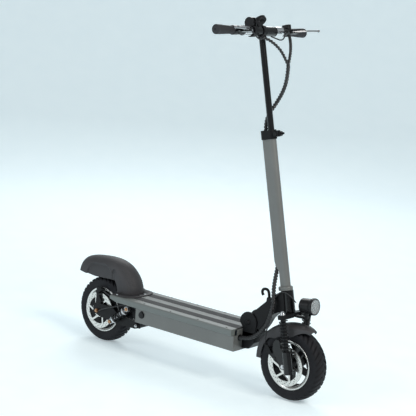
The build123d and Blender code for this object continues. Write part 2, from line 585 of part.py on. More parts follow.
def deck_box():
    top = DECK_TOP - PLATE_T
    shell = block(BOX_REAR, BOX_FRONT, -BOX_HALF, BOX_HALF, BOX_BOTTOM, top)
    shell = fillet(shell.edges().filter_by(Axis.X).group_by(Axis.Z)[0], 5)
    shell -= block(BOX_REAR + BOX_WALL, BOX_FRONT - BOX_WALL, -BOX_HALF + BOX_WALL,
                   BOX_HALF - BOX_WALL, BOX_BOTTOM + BOX_WALL, top + 1)
    for side in (RIGHT, LEFT):
        ys = sorted((side * (DECK_HALF - RAIL_W), side * 90))
        shell -= block(BOX_REAR - 1, PLATE_FRONT, *ys, DECK_TOP - RAIL_H, DECK_TOP)
    shell -= block(PLATE_FRONT, BOX_FRONT + 1, -90, 90, DECK_TOP - RAIL_H, DECK_TOP)
    for side in (RIGHT, LEFT):
        ys = sorted((side * (DECK_HALF - RAIL_W - 3), side * (DECK_HALF - RAIL_W)))
        shell += block(BOX_REAR, BOX_FRONT, *ys, DECK_TOP - RAIL_H - BOX_WALL, DECK_TOP - RAIL_H)
        ys = sorted((side * (DECK_HALF - RAIL_W - 3), side * BOX_HALF))
        shell += block(BOX_REAR, BOX_FRONT, *ys, DECK_TOP - RAIL_H - BOX_WALL, DECK_TOP - RAIL_H)
    shell += block(BOX_FRONT - BOX_WALL, BOX_FRONT, -60, 60, DECK_TOP - RAIL_H - 4, top)
    shell -= rod_y(PORT_R, -90, -70, PORT_X, PORT_Z)
    shell -= Pos(BOX_FRONT, HARNESS_Y, HARNESS_Z) * Rot(0, 90, 0) * Cylinder(FRONT_GROMMET_R, 20)
    shell -= Pos(BOX_REAR, REAR_CABLE_Y, REAR_CABLE_Z) * Rot(0, 90, 0) * Cylinder(REAR_GROMMET_R, 20)
    return Pos(XR, 0, 0) * shell


HARNESS_Y, HARNESS_Z = -46.0, 180.0
REAR_CABLE_Y, REAR_CABLE_Z = -59.0, 171.0
REAR_GROMMET_R, FRONT_GROMMET_R = 10.0, 11.0


def deck_plate():
    """Foot deck: a plate between two hollow side rails that run back past the tyre."""
    rails = []
    for side in (RIGHT, LEFT):
        ys = sorted((side * (DECK_HALF - RAIL_W), side * DECK_HALF))
        rail = block(RAIL_REAR, PLATE_FRONT, *ys, DECK_TOP - RAIL_H, DECK_TOP)
        outer = rail.edges().filter_by(Axis.X).group_by(Axis.Y)[0 if side == RIGHT else -1]
        rail = fillet(outer, 6)
        rail -= side_plate([(RAIL_REAR - 1, DECK_TOP - RAIL_H - 1), (RAIL_REAR - 1, DECK_TOP - TIP_H),
                            (RAIL_REAR + TIP_L, DECK_TOP - RAIL_H - 1)], *ys)
        ys = sorted((side * (DECK_HALF - RAIL_W + 3), side * (DECK_HALF - 4)))
        rail -= block(RAIL_REAR + TIP_L, PLATE_FRONT - 4, *ys, DECK_TOP - RAIL_H + 3, DECK_TOP - 6)
        rails.append(rail)
    half = DECK_HALF - RAIL_W
    plate = block(PLATE_REAR, PLATE_FRONT, -half, half, DECK_TOP - PLATE_T, DECK_TOP)
    plate = plate + rails[0] + rails[1]
    for side in (RIGHT, LEFT):
        ys = sorted((side * STRIP_Y0, side * STRIP_Y1))
        plate -= block(PLATE_REAR + 20, PLATE_FRONT + 1, *ys, DECK_TOP - STRIP_T, DECK_TOP + 1)
        for x in SCREW_X:
            plate -= bar_z(SCREW_R, DECK_TOP - 6.5, DECK_TOP + 1, x, side * SCREW_Y)
            plate -= bar_z(SCREW_HEAD_R, DECK_TOP - 2.5, DECK_TOP + 1, x, side * SCREW_Y)
    for x, y in GUARD_SCREWS:
        plate -= bar_z(SCREW_R, DECK_TOP - 9, DECK_TOP + 1, x, y)
    return Pos(XR, 0, 0) * plate


def deck_strips():
    strips = []
    for side in (RIGHT, LEFT):
        ys = sorted((side * STRIP_Y0, side * STRIP_Y1))
        strips.append(Pos(XR, 0, 0) * block(PLATE_REAR + 40, PLATE_FRONT, *ys,
                                            DECK_TOP - STRIP_T, DECK_TOP + 0.6))
    return Compound(children=strips)


def fasteners():
    """Deck and mudguard screws, the fold pin, the swingarm bolt, shock bolts and stand bolt."""
    group = []
    for side in (RIGHT, LEFT):
        for x in SCREW_X:
            group.append(Pos(XR, 0, 0) * (bar_z(SCREW_R, DECK_TOP - 6, DECK_TOP - 1, x, side * SCREW_Y)
                         + bar_z(SCREW_HEAD_R, DECK_TOP - 2.5, DECK_TOP - 0.4, x, side * SCREW_Y)))
    for x, y in GUARD_SCREWS:
        group.append(Pos(XR, 0, 0) * (bar_z(SCREW_R, DECK_TOP - 8, DECK_TOP + 4, x, y)
                     + bar_z(SCREW_HEAD_R, DECK_TOP + 4, DECK_TOP + 6.5, x, y)))
    pin = rod_y(FOLD_PIN_R, -CHEEK_OUT - 1, CHEEK_OUT + 1, XR + FOLD_X, FOLD_Z)
    for side in (RIGHT, LEFT):
        pin += rod_y(10, side * CHEEK_OUT, side * (CHEEK_OUT + 4), XR + FOLD_X, FOLD_Z)
    group.append(pin)
    group.append(rod_y(AXLE_R, -60, 60, XR + ARM_PIVOT_X, ARM_PIVOT_Z))
    for side in (RIGHT, LEFT):
        x, z = XR + SHOCK_TOP[0], SHOCK_TOP[1]
        far = SHOCK_Y + SHOCK_EYE_W / 2 + GAP
        bolt = rod_y(SHOCK_PIN_R, side * LUG_OUT, side * far, x, z)
        bolt += rod_y(SHOCK_PIN_R + 4, side * far, side * (far + 5), x, z)
        bolt += rod_y(SHOCK_PIN_R + 3, side * LUG_OUT, side * (SHOCK_Y - SHOCK_EYE_W / 2 - GAP), x, z)
        group.append(bolt)
    stand = rod_y(4, BOX_HALF, 99, XR + STAND_X, STAND_Z) + rod_y(7, 99, 103, XR + STAND_X, STAND_Z)
    group.append(stand)
    return Compound(children=group)


def battery_pack():
    pack = block(BOX_REAR + 110, BOX_FRONT - 40, -62, 62, BOX_BOTTOM + BOX_WALL, 184)
    return Pos(XR, 0, 0) * fillet(pack.edges().filter_by(Axis.X), 4)


def controller():
    case = block(BOX_REAR + 20, BOX_REAR + 95, -40, 40, BOX_BOTTOM + BOX_WALL, BOX_BOTTOM + 38)
    return Pos(XR, 0, 0) * fillet(case.edges().filter_by(Axis.Z), 4)


def box_grommets():
    """Cable grommets at both ends of the box, and the charging socket's ring."""
    ends = [(BOX_FRONT - 6, BOX_FRONT + 3, HARNESS_Y, HARNESS_Z, FRONT_GROMMET_R, HARNESS_R + 1),
            (BOX_REAR - 6, BOX_REAR + 6, REAR_CABLE_Y, REAR_CABLE_Z, REAR_GROMMET_R, 7.5)]
    group = []
    for x0, x1, y, z, r, bore in ends:
        along = Pos(XR + (x0 + x1) / 2, y, z) * Rot(0, 90, 0)
        group.append(along * (Cylinder(r, x1 - x0) - Cylinder(bore, x1 - x0 + 2)))
    ring = rod_y(PORT_R, -BOX_HALF, -62, XR + PORT_X, PORT_Z)
    ring += rod_y(PORT_R + 3, -BOX_HALF - 2, -BOX_HALF, XR + PORT_X, PORT_Z)
    ring -= rod_y(PORT_R - 3, -BOX_HALF - 3, -66, XR + PORT_X, PORT_Z)
    group.append(ring + block(XR + PORT_X - 4, XR + PORT_X + 4, -BOX_HALF - 2, -BOX_HALF,
                              PORT_Z + PORT_R, PORT_Z + PORT_R + 5))
    return Compound(children=group)


def charge_cap():
    y_face = -BOX_HALF - 2 - GAP
    cap = rod_y(PORT_R + 1.5, y_face - 3, y_face, XR + PORT_X, PORT_Z)
    tab = block(XR + PORT_X - 3, XR + PORT_X + 3, y_face - 2, y_face, PORT_Z + PORT_R, PORT_Z + PORT_R + 5)
    return cap + tab


# ---- rear mudguard -------------------------------------------------------------------------------
GUARD_SCREWS = ((118.0, -74.0), (118.0, 74.0), (180.0, -13.0), (180.0, 13.0))
FENDER_HALF, FENDER_WALL, FENDER_ROUND = 50.0, 3.5, 40.0
FENDER_NOSE, FLANGE_FRONT, FLANGE_HALF = 170.0, 188.0, 80.0
FENDER_ARCH = ((FENDER_NOSE, DECK_TOP), (168, 240), (156, 268), (136, 295), (104, 319), (62, 333),
               (14, 337), (-60, 327), (-112, 308), (-134, 290), (-TAIL_REACH, 264))


def rear_fender():
    """Mudguard over the rear wheel: arched top, two side skirts, and a flange on the deck."""
    skirt = [(-102, 263), (-44, 255), (50, 259), (84, 250), (94, DECK_TOP)]
    hull = side_plate([(XR + x, z) for x, z in FENDER_ARCH + tuple(skirt)], -FENDER_HALF, FENDER_HALF)
    hull = fillet(hull.edges().filter_by(Axis.Y).group_by(Axis.Z)[-4:], 10)
    plan = block(XR - TAIL_REACH, XR + FENDER_NOSE, -FENDER_HALF, FENDER_HALF, 190, 360)
    hull = hull & fillet(plan.edges().filter_by(Axis.Z), FENDER_ROUND)
    roof = []
    for i, (x, z) in enumerate(FENDER_ARCH):
        x0, z0 = FENDER_ARCH[max(i - 1, 0)]
        x1, z1 = FENDER_ARCH[min(i + 1, len(FENDER_ARCH) - 1)]
        run = hypot(x1 - x0, z1 - z0)
        roof.append((XR + x - (z1 - z0) / run * FENDER_WALL, z + (x1 - x0) / run * FENDER_WALL))
    inside = roof[:]
    inside[0] = (XR + FENDER_NOSE - FENDER_WALL, 200)
    inside += [(XR - TAIL_REACH + FENDER_WALL, 200)]
    inner = FENDER_HALF - FENDER_WALL
    core = block(XR - TAIL_REACH + FENDER_WALL, XR + FENDER_NOSE - FENDER_WALL, -inner, inner, 190, 360)
    core = fillet(core.edges().filter_by(Axis.Z), FENDER_ROUND - FENDER_WALL)
    hull -= side_plate(inside, -inner, inner) & core
    flange = block(XR + 96, XR + FLANGE_FRONT, -FLANGE_HALF, FLANGE_HALF, DECK_TOP, DECK_TOP + 4)
    corners = flange.edges().filter_by(Axis.Z).group_by(Axis.X)[-1]
    flange = fillet(corners, 40) - core
    hull = hull + flange
    for x, y in GUARD_SCREWS:
        hull -= bar_z(SCREW_R, DECK_TOP - 1, DECK_TOP + 5, XR + x, y)
    return hull


# ---- rear suspension -----------------------------------------------------------------------------
def swingarm():
    outline = [(-24, 118), (-22, 150), (-12, 156), (76, 156), (104, 138), (200, 126), (216, 118),
               (216, 104), (200, 99), (104, 96), (10, 106)]
    arm = rod_y(12, -LUG_IN + 0.4, LUG_IN - 0.4, XR + ARM_PIVOT_X, ARM_PIVOT_Z)
    arm = arm + block(XR + 150, XR + 176, -PLATE_IN - 1, PLATE_IN + 1, 102, 118)
    arm = arm + block(XR + 170, XR + ARM_PIVOT_X, -LUG_IN + 1, LUG_IN - 1, 102, 118)
    for side in (RIGHT, LEFT):
        ys = sorted((side * PLATE_IN, side * PLATE_OUT))
        plate = side_plate([(XR + x, z) for x, z in outline], *ys, 4)
        pin_end = SHOCK_Y + SHOCK_EYE_W / 2 + 1
        x, z = XR + SHOCK_LOW[0], SHOCK_LOW[1]
        plate += rod_y(SHOCK_PIN_R, side * PLATE_OUT, side * pin_end, x, z)
        plate += rod_y(SHOCK_PIN_R + 4, side * pin_end, side * (pin_end + 4), x, z)
        plate += rod_y(SHOCK_PIN_R + 3, side * PLATE_OUT, side * (SHOCK_Y - SHOCK_EYE_W / 2 - 1), x, z)
        arm += plate
    tower = side_plate([(XR - 12, 150), (XR + 14, 150), (XR + 14, 176), (XR - 12, 176)],
                       -PLATE_OUT, -PLATE_IN)
    arm = arm + tower + rod_y(CALIPER_PIVOT - 1, -PLATE_OUT, -PLATE_IN, XR, TYRE_R + 52)
    arm -= rod_y(AXLE_R + SEAT, -90, 90, XR, TYRE_R)
    return arm - rod_y(AXLE_R + RUN, -90, 90, XR + ARM_PIVOT_X, ARM_PIVOT_Z)


def rear_bracket():
    """Steel bracket on the back of the box: swingarm lugs and upper shock mounts."""
    back = block(XR + BOX_REAR - 4, XR + BOX_REAR, -76, 76, BOX_BOTTOM, 188)
    outline = [(BOX_REAR - 2, 186), (178, 186), (160, 184), (158, 164), (172, 158), (194, 128),
               (194, 102), (218, 102), (BOX_REAR - 2, 124)]
    for side in (RIGHT, LEFT):
        ys = sorted((side * LUG_IN, side * LUG_OUT))
        back += side_plate([(XR + x, z) for x, z in outline], *ys)
    back -= rod_y(AXLE_R, -90, 90, XR + ARM_PIVOT_X, ARM_PIVOT_Z)
    hole = Pos(XR + BOX_REAR, REAR_CABLE_Y, REAR_CABLE_Z) * Rot(0, 90, 0) * Cylinder(REAR_GROMMET_R, 20)
    return back - hole


def shock_point(t, side):
    """A point on a shock's axis, t from the lower eye."""
    dx, dz = SHOCK_TOP[0] - SHOCK_LOW[0], SHOCK_TOP[1] - SHOCK_LOW[1]
    run = hypot(dx, dz)
    return (XR + SHOCK_LOW[0] + dx / run * t, side * SHOCK_Y, SHOCK_LOW[1] + dz / run * t)


SHOCK_L = hypot(SHOCK_TOP[0] - SHOCK_LOW[0], SHOCK_TOP[1] - SHOCK_LOW[1])
SHOCK_ROD_R, SHOCK_BODY_R, SHOCK_SEAT_R = 4.5, 8.5, 15.0
SEAT_T0, SEAT_T1 = 14.0, 20.0


def shock_eye(x, z, side, bore):
    half = SHOCK_EYE_W / 2
    ring = rod_y(SHOCK_EYE_R, side * (SHOCK_Y - half), side * (SHOCK_Y + half), x, z)
    return ring, rod_y(bore, side * (SHOCK_Y - half - 1), side * (SHOCK_Y + half + 1), x, z)


def shock_bodies():
    group = []
    for side in (RIGHT, LEFT):
        eye, hole = shock_eye(XR + SHOCK_TOP[0], SHOCK_TOP[1], side, SHOCK_PIN_R + RUN)
        body = rod(SHOCK_BODY_R, shock_point(52, side), shock_point(SHOCK_L - SEAT_T0, side)) + eye
        body += rod(6.5, shock_point(SHOCK_L - SEAT_T0, side), shock_point(SHOCK_L - 6, side))
        body += rod(SHOCK_SEAT_R, shock_point(SHOCK_L - SEAT_T1, side), shock_point(SHOCK_L - SEAT_T0, side))
        body -= rod(SHOCK_ROD_R + RUN, shock_point(51, side), shock_point(88, side))
        group.append(body - hole)
    return Compound(children=group)


def shock_rods():
    group = []
    for side in (RIGHT, LEFT):
        eye, hole = shock_eye(XR + SHOCK_LOW[0], SHOCK_LOW[1], side, SHOCK_PIN_R + 1.2)
        body = rod(SHOCK_ROD_R, shock_point(6, side), shock_point(70, side)) + eye
        body += rod(SHOCK_SEAT_R, shock_point(SEAT_T0, side), shock_point(SEAT_T1, side))
        group.append(body - hole)
    return Compound(children=group)


def shock_springs():
    group = []
    for side in (RIGHT, LEFT):
        ends = (shock_point(SEAT_T1, side), shock_point(SHOCK_L - SEAT_T1, side))
        group.append(rod(SHOCK_SEAT_R - 0.5, *ends) - rod(SHOCK_BODY_R + 1, *ends))
    return Compound(children=group)


# ---- kickstand -----------------------------------------------------------------------------------
def kickstand():
    """Side stand on the left, folded up along the box."""
    x, z = XR + STAND_X, STAND_Z
    leg = rod_y(10, BOX_HALF + 2, 98, x, z)
    leg += rod(6, (x - 6, 90, z), (x - STAND_L + 8, 90, z))
    foot = rod(9, (x - STAND_L, 90, z), (x - STAND_L + 12, 90, z))
    return leg + foot - rod_y(4 + RUN, 70, 110, x, z)


# ---- cables --------------------------------------------------------------------------------------
HARNESS_R, BRANCH_R, WIRE_R = 7.0, 5.5, 2.5


def harness():
    """Wrapped control cables: two branches, one trunk down the column's channel, and to the box."""
    join = world(76, 30, 1150)
    trunk = [join, world(64, 34, 1108), world(40, 36, 1066), world(6, 34, 1028), world(-20, 16, 992),
             world(CHANNEL_U, 1, 950), world(CHANNEL_U, 0, 900)]
    channel = [world(CHANNEL_U, 0, 900), world(CHANNEL_U, 0.5, 700), world(CHANNEL_U, 0, 505)]
    lower = [world(CHANNEL_U, 0, 505), world(-27, -1, 474), world(-33, -15, 434), world(-35, -31, 392),
             world(-31, -43.5, 345), (XR + 812, -46, 268), (XR + 790, -46.5, 232), (XR + 762, -46.5, 204),
             (XR + 730, HARNESS_Y, 185), (XR + BOX_FRONT, HARNESS_Y, HARNESS_Z)]
    right = [world(14, -27, 1256), world(28, -8, 1248), world(46, 10, 1226), world(64, 24, 1194), join]
    left = [world(30, 118, 1262), world(48, 96, 1244), world(66, 70, 1218), world(78, 46, 1186), join]
    brake = [world(-33, -47.5, 345), world(-34, -54, 318), world(-48, -60, 280), world(-62, -64, 246),
             world(-66, -64.5, 224)]
    lamp = [world(-33, -36, 362), world(-12, -36, 382), world(12, -33, 386), world(30, -24, 370),
            world(40, -10, 344)]
    solids = [cable(trunk, HARNESS_R), cable(channel, HARNESS_R), cable(lower, HARNESS_R),
              cable(right, BRANCH_R), cable(left, BRANCH_R), cable(brake, WIRE_R), cable(lamp, 1.6)]
    return Compound(children=solids)


def rear_cables():
    """Rear brake cable and the motor's cable, from the back of the box to the rear wheel."""
    brake = [(XR + BOX_REAR, -61, 173), (XR + 196, -59, 183), (XR + 168, -58, 190), (XR + 110, -60, 192),
             (XR + 66, -63, 199), (XR + 36, -64, 212)]
    motor = [(XR + BOX_REAR, -56.5, 169), (XR + 196, -55, 178), (XR + 168, -56, 184), (XR + 134, -60, 177),
             (XR + 80, -64, 158), (XR + 32, -63, 141), (XR + 11, -61.5, 128)]
    return Compound(children=[cable(brake, WIRE_R), cable(motor, 3.0)])


# ---- every sub-part, by node name ----------------------------------------------------------------
def build():
    parts = {
        "deck_box": deck_box(), "deck_plate": deck_plate(), "deck_strips": deck_strips(),
        "fasteners": fasteners(), "battery_pack": battery_pack(), "controller": controller(),
        "box_grommets": box_grommets(), "charge_cap": charge_cap(), "rear_bracket": rear_bracket(),
        "rear_fender": rear_fender(), "hinge_base": hinge_base(), "kickstand": kickstand(),
        "swingarm": swingarm(), "rear_axle": at_wheel(axle(PLATE_OUT + 12), XR),
        "rear_caliper": placed_caliper(caliper(), REAR_CALIPER_TURN, XR),
        "rear_caliper_arm": placed_arm(REAR_CALIPER_TURN, REAR_ARM_TURN, XR),
        "rear_tyre": at_wheel(tyre(), XR), "rear_motor": at_wheel(rear_motor(), XR),
        "rear_rotor": at_wheel(rotor(), XR),
        "shock_bodies": shock_bodies(), "shock_rods": shock_rods(), "shock_springs": shock_springs(),
        "neck_arm": neck_arm(), "head_tube": head_tube(), "headset_bearings": headset_bearings(),
        "hook_lever": hook_lever(),
        "fork_crown": fork_crown(), "column": column(), "column_collar": column_collar(),
        "column_clamp": column_clamp(), "clamp_knob": clamp_knob(),
        "headlight": headlight(), "headlight_lens": headlight_lens(),
        "fork_lowers": fork_lowers(), "fork_springs": fork_springs(),
        "front_axle": at_wheel(axle(PLATE_OUT + 12), XF), "front_fender": front_fender(),
        "front_caliper": placed_caliper(caliper(), FRONT_CALIPER_TURN, XF),
        "front_caliper_arm": placed_arm(FRONT_CALIPER_TURN, FRONT_ARM_TURN, XF),
        "front_tyre": at_wheel(tyre(), XF), "front_rim": at_wheel(front_rim(), XF),
        "front_rotor": at_wheel(rotor(), XF),
        "inner_column": inner_column(), "tee": tee(), "display": display(),
        "display_button": display_button(), "throttle_body": throttle_body(),
        "throttle_trigger": throttle_trigger(), "switch_box": switch_box(),
        "horn_button": horn_button(), "harness": harness(), "rear_cables": rear_cables(),
    }
    for side, name in ((RIGHT, "right"), (LEFT, "left")):
        parts["lock_sleeve_" + name] = lock_sleeve(side)
        parts["handlebar_" + name] = handlebar(side)
        parts["grip_" + name] = grip(side)
        parts["brake_lever_" + name] = brake_lever(side)
    return parts


os.makedirs("parts", exist_ok=True)
PARTS = build()
for node, shape in PARTS.items():
    export_step(shape, f"parts/{node}.step")
print(len(PARTS), "sub-parts written")
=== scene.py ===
import json
from math import cos, pi, radians, sin

import bmesh
import bpy
import numpy as np
from mathutils import Matrix, Vector


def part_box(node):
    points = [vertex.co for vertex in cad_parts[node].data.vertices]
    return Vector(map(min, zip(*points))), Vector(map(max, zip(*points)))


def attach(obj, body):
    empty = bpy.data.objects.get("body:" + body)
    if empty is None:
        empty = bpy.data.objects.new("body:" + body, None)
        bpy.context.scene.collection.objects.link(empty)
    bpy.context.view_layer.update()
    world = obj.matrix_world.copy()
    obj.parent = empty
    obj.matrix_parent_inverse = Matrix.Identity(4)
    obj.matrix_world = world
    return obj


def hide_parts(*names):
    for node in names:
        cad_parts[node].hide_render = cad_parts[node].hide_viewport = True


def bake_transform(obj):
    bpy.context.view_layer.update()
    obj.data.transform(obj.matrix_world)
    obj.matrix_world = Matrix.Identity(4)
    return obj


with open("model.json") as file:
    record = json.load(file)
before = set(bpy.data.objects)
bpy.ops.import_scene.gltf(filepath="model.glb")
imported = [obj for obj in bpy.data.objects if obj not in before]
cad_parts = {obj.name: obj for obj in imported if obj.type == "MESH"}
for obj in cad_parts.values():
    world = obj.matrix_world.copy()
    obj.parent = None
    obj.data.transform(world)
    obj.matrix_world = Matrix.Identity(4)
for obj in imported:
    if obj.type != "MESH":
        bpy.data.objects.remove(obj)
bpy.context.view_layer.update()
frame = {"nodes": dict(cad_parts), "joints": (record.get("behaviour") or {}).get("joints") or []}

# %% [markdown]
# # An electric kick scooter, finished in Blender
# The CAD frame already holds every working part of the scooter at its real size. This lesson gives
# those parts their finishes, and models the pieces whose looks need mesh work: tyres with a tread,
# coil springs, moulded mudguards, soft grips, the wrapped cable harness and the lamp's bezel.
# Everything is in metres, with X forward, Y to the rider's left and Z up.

nodes = frame["nodes"]
joints = {joint["name"]: joint for joint in frame["joints"]}
MM = 0.001

# %% [markdown]
# ## Reference places
# The wheels' centres come from the boxes of the two tyres, and the steering axis from its joint. A
# place on the column is given by three numbers: ahead of the axis, to the left, and up along it.

# %% Places read from the frame
def middle(node):
    low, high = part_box(node)
    return (low + high) / 2


front, rear = middle("front_tyre"), middle("rear_tyre")
up = Vector(joints["steer"]["axis"]).normalized()
ahead = Vector((up.z, 0, -up.x))
STEER_JOINT_HEIGHT = 0.350
axis_point = Vector(joints["steer"]["pos_m"]) - up * STEER_JOINT_HEIGHT


def on_column(u, y, s):
    """A point u ahead of the steering axis, y to the left and s up along it, in millimetres."""
    return axis_point + ahead * (u * MM) + Vector((0, y * MM, 0)) + up * (s * MM)


def from_rear(x, y, z):
    """A point x ahead of the rear axle, y to the left and z above the ground, in millimetres."""
    return Vector((rear.x + x * MM, y * MM, z * MM))


print("front wheel at", front, "rear wheel at", rear)

# %% [markdown]
# ## Colours and the node helper
# Colours are written as the sRGB hex values that a paint chart uses. Shaders work in linear light, so
# one function converts them. Another adds one shader node with its settings and its links.

# %% Colour and node helpers
def linear(hex_colour):
    """An sRGB hex colour as linear RGBA."""
    parts = [int(hex_colour[i:i + 2], 16) / 255 for i in (1, 3, 5)]
    return tuple(c / 12.92 if c <= 0.04045 else ((c + 0.055) / 1.055) ** 2.4 for c in parts) + (1.0,)


def add(tree, kind, settings=None, links=None):
    """Adds a node, sets its fields or input values, and links its inputs to other nodes' outputs."""
    node = tree.nodes.new(kind)
    for key, value in (settings or {}).items():
        if key in node.inputs:
            node.inputs[key].default_value = value
        else:
            setattr(node, key, value)
    for key, source in (links or {}).items():
        tree.links.new(source, node.inputs[key])
    return node


def start(name):
    """A new node material: its tree, its Principled shader and its object coordinates."""
    made = bpy.data.materials.new(name)
    made.use_nodes = True
    tree = made.node_tree
    shader = tree.nodes["Principled BSDF"]
    where = add(tree, "ShaderNodeTexCoord")
    return made, tree, shader, where.outputs["Object"]


# %% [markdown]
# ## Finishes
# Each finish starts from how the real surface is made. Powder coat has a fine orange peel, moulded
# plastic a spark-eroded grain, rubber a dull bloom, and brushed steel fine scratches. The grain is a
# noise at its real spacing that drives bump and roughness. A slower noise lets the colour drift.

# %% A coated or moulded surface
def grained(name, hex_low, hex_high, roughness, grain_mm, bump, metallic=0.0, coat=0.0, shine=0.5):
    """A surface whose colour drifts a little and whose grain shows as bump and roughness."""
    made, tree, shader, at = start(name)
    drift = add(tree, "ShaderNodeTexNoise", {"Scale": 9.0, "Detail": 3.0}, {"Vector": at})
    tint = add(tree, "ShaderNodeValToRGB", links={"Fac": drift.outputs["Fac"]})
    tint.color_ramp.elements[0].position = 0.35
    tint.color_ramp.elements[0].color = linear(hex_low)
    tint.color_ramp.elements[1].position = 0.65
    tint.color_ramp.elements[1].color = linear(hex_high)
    tree.links.new(tint.outputs["Color"], shader.inputs["Base Color"])
    grain = add(tree, "ShaderNodeTexNoise", {"Scale": 1000.0 / grain_mm, "Detail": 2.0}, {"Vector": at})
    rough = add(tree, "ShaderNodeMapRange", {"To Min": roughness - 0.06, "To Max": roughness + 0.06},
                {"Value": grain.outputs["Fac"]})
    tree.links.new(rough.outputs["Result"], shader.inputs["Roughness"])
    raised = add(tree, "ShaderNodeBump", {"Strength": bump, "Distance": 0.0004},
                 {"Height": grain.outputs["Fac"]})
    tree.links.new(raised.outputs["Normal"], shader.inputs["Normal"])
    shader.inputs["Metallic"].default_value = metallic
    shader.inputs["Coat Weight"].default_value = coat
    shader.inputs["Specular IOR Level"].default_value = shine
    return made


# A metal's own colour is its reflection, so brushed and turned metal carry fine lines in roughness.
def brushed(name, hex_colour, roughness, line_mm, stretch=(1.0, 30.0, 1.0)):
    """Bare metal with fine parallel lines left by brushing or turning."""
    made, tree, shader, at = start(name)
    turned = add(tree, "ShaderNodeMapping", {"Scale": stretch}, {"Vector": at})
    lines = add(tree, "ShaderNodeTexNoise", {"Scale": 1000.0 / line_mm / 8, "Detail": 4.0},
                {"Vector": turned.outputs["Vector"]})
    rough = add(tree, "ShaderNodeMapRange", {"To Min": roughness - 0.08, "To Max": roughness + 0.1},
                {"Value": lines.outputs["Fac"]})
    tree.links.new(rough.outputs["Result"], shader.inputs["Roughness"])
    raised = add(tree, "ShaderNodeBump", {"Strength": 0.12, "Distance": 0.0002},
                 {"Height": lines.outputs["Fac"]})
    tree.links.new(raised.outputs["Normal"], shader.inputs["Normal"])
    shader.inputs["Base Color"].default_value = linear(hex_colour)
    shader.inputs["Metallic"].default_value = 1.0
    return made


# Powder coat on the deck and column: satin grey with a fine orange peel of about 1.2 mm.
grey_coat = grained("powder coat, satin grey", "#6B6C6A", "#717270", 0.40, 1.2, 0.10, 0.15, 0.15)
# The frame's black powder coat has a slightly coarser texture, which softens its highlights.
black_coat = grained("powder coat, fine black", "#101012", "#151517", 0.40, 1.0, 0.14, 0.0, 0.0, 0.20)
# Gloss black enamel on the fork legs, the head tube and the inner column shows long sharp streaks.
gloss_black = grained("enamel, gloss black", "#0C0C0E", "#101012", 0.16, 1.5, 0.03, 0.0, 0.25, 0.30)
# ABS mudguards, moulded in a spark-eroded tool: a dull charcoal with a visible grain.
moulded_abs = grained("moulded ABS, charcoal", "#3D3C3E", "#434244", 0.56, 1.4, 0.20, 0.0, 0.0, 0.28)
# Smaller black ABS housings are finer and a little glossier.
black_abs = grained("moulded ABS, black", "#121214", "#18181A", 0.34, 0.8, 0.10, 0.0, 0.0, 0.28)
# Soft rubber on grips keeps a grey bloom and almost no gloss.
grip_rubber = grained("thermoplastic rubber, charcoal", "#29292C", "#313134", 0.60, 0.9, 0.18, 0.0, 0.0, 0.3)
# Tyre rubber is filled with carbon black, and its sides look dusty next to the tread.
tyre_rubber = grained("tyre rubber, carbon black", "#17171A", "#202024", 0.62, 1.5, 0.20, 0.0, 0.0, 0.22)
zinc_steel = brushed("zinc plated steel, bright", "#C9C9CB", 0.30, 0.4)
disc_steel = brushed("stainless steel, ground disc", "#D8D6D2", 0.26, 0.5)
chrome = brushed("chrome plate on steel", "#D9DADC", 0.12, 0.6)
copper_steel = brushed("yellow zinc plated steel", "#B08A6C", 0.34, 0.4)
rim_alloy = brushed("turned aluminium rim lip", "#DAD9D6", 0.25, 0.5)
lever_alloy = grained("cast aluminium, polished lever", "#8E8F91", "#98999B", 0.30, 0.9, 0.06, 0.85)
black_anodised = grained("anodised aluminium, black", "#17181A", "#1D1E20", 0.28, 0.7, 0.06, 0.3, 0.0, 0.4)
red_plastic = grained("gloss plastic, red", "#8C1214", "#981517", 0.22, 0.9, 0.03)
cell_wrap = grained("heat-shrink film, blue", "#1F3F86", "#244793", 0.30, 2.0, 0.05)
print("finishes made:", len(bpy.data.materials))

# %% [markdown]
# ## Deck rubber
# The foot strips are rolled rubber with fine lengthwise ribs about 10 mm apart, which stop a shoe from
# sliding. A wave texture across the strip gives the ribs, so no rib has to be modelled. The bare band
# between the strips is the extruded plate itself, drawn with fine grooves, and needs the same wave.

# %% Ribbed deck rubber
WAVE_LENGTH_MM = 314.0      # from crest to crest of the wave texture, at a scale of one
DECK_BAND = 0.018


def ribbed(name, hex_colour, roughness, pitch_mm, strength, half_band=0.0):
    """Straight lengthwise ribs at a real pitch, everywhere or only within half_band of the middle."""
    made, tree, shader, at = start(name)
    wave = add(tree, "ShaderNodeTexWave", {"wave_type": "BANDS", "bands_direction": "Y",
                                           "Scale": WAVE_LENGTH_MM / pitch_mm, "Distortion": 0.0},
               {"Vector": at})
    height = wave.outputs["Fac"]
    if half_band:
        axes = add(tree, "ShaderNodeSeparateXYZ", links={"Vector": at})
        beside = add(tree, "ShaderNodeMath", {"operation": "ABSOLUTE"}, {0: axes.outputs["Y"]})
        within = add(tree, "ShaderNodeMath", {"operation": "LESS_THAN"}, {0: beside.outputs[0]})
        within.inputs[1].default_value = half_band
        masked = add(tree, "ShaderNodeMath", {"operation": "MULTIPLY"},
                     {0: height, 1: within.outputs[0]})
        height = masked.outputs[0]
    raised = add(tree, "ShaderNodeBump", {"Strength": strength, "Distance": 0.001}, {"Height": height})
    dust = add(tree, "ShaderNodeTexNoise", {"Scale": 40.0, "Detail": 4.0}, {"Vector": at})
    rough = add(tree, "ShaderNodeMapRange", {"To Min": roughness - 0.08, "To Max": roughness + 0.08},
                {"Value": dust.outputs["Fac"]})
    tree.links.new(rough.outputs["Result"], shader.inputs["Roughness"])
    tree.links.new(raised.outputs["Normal"], shader.inputs["Normal"])
    shader.inputs["Base Color"].default_value = linear(hex_colour)
    return made


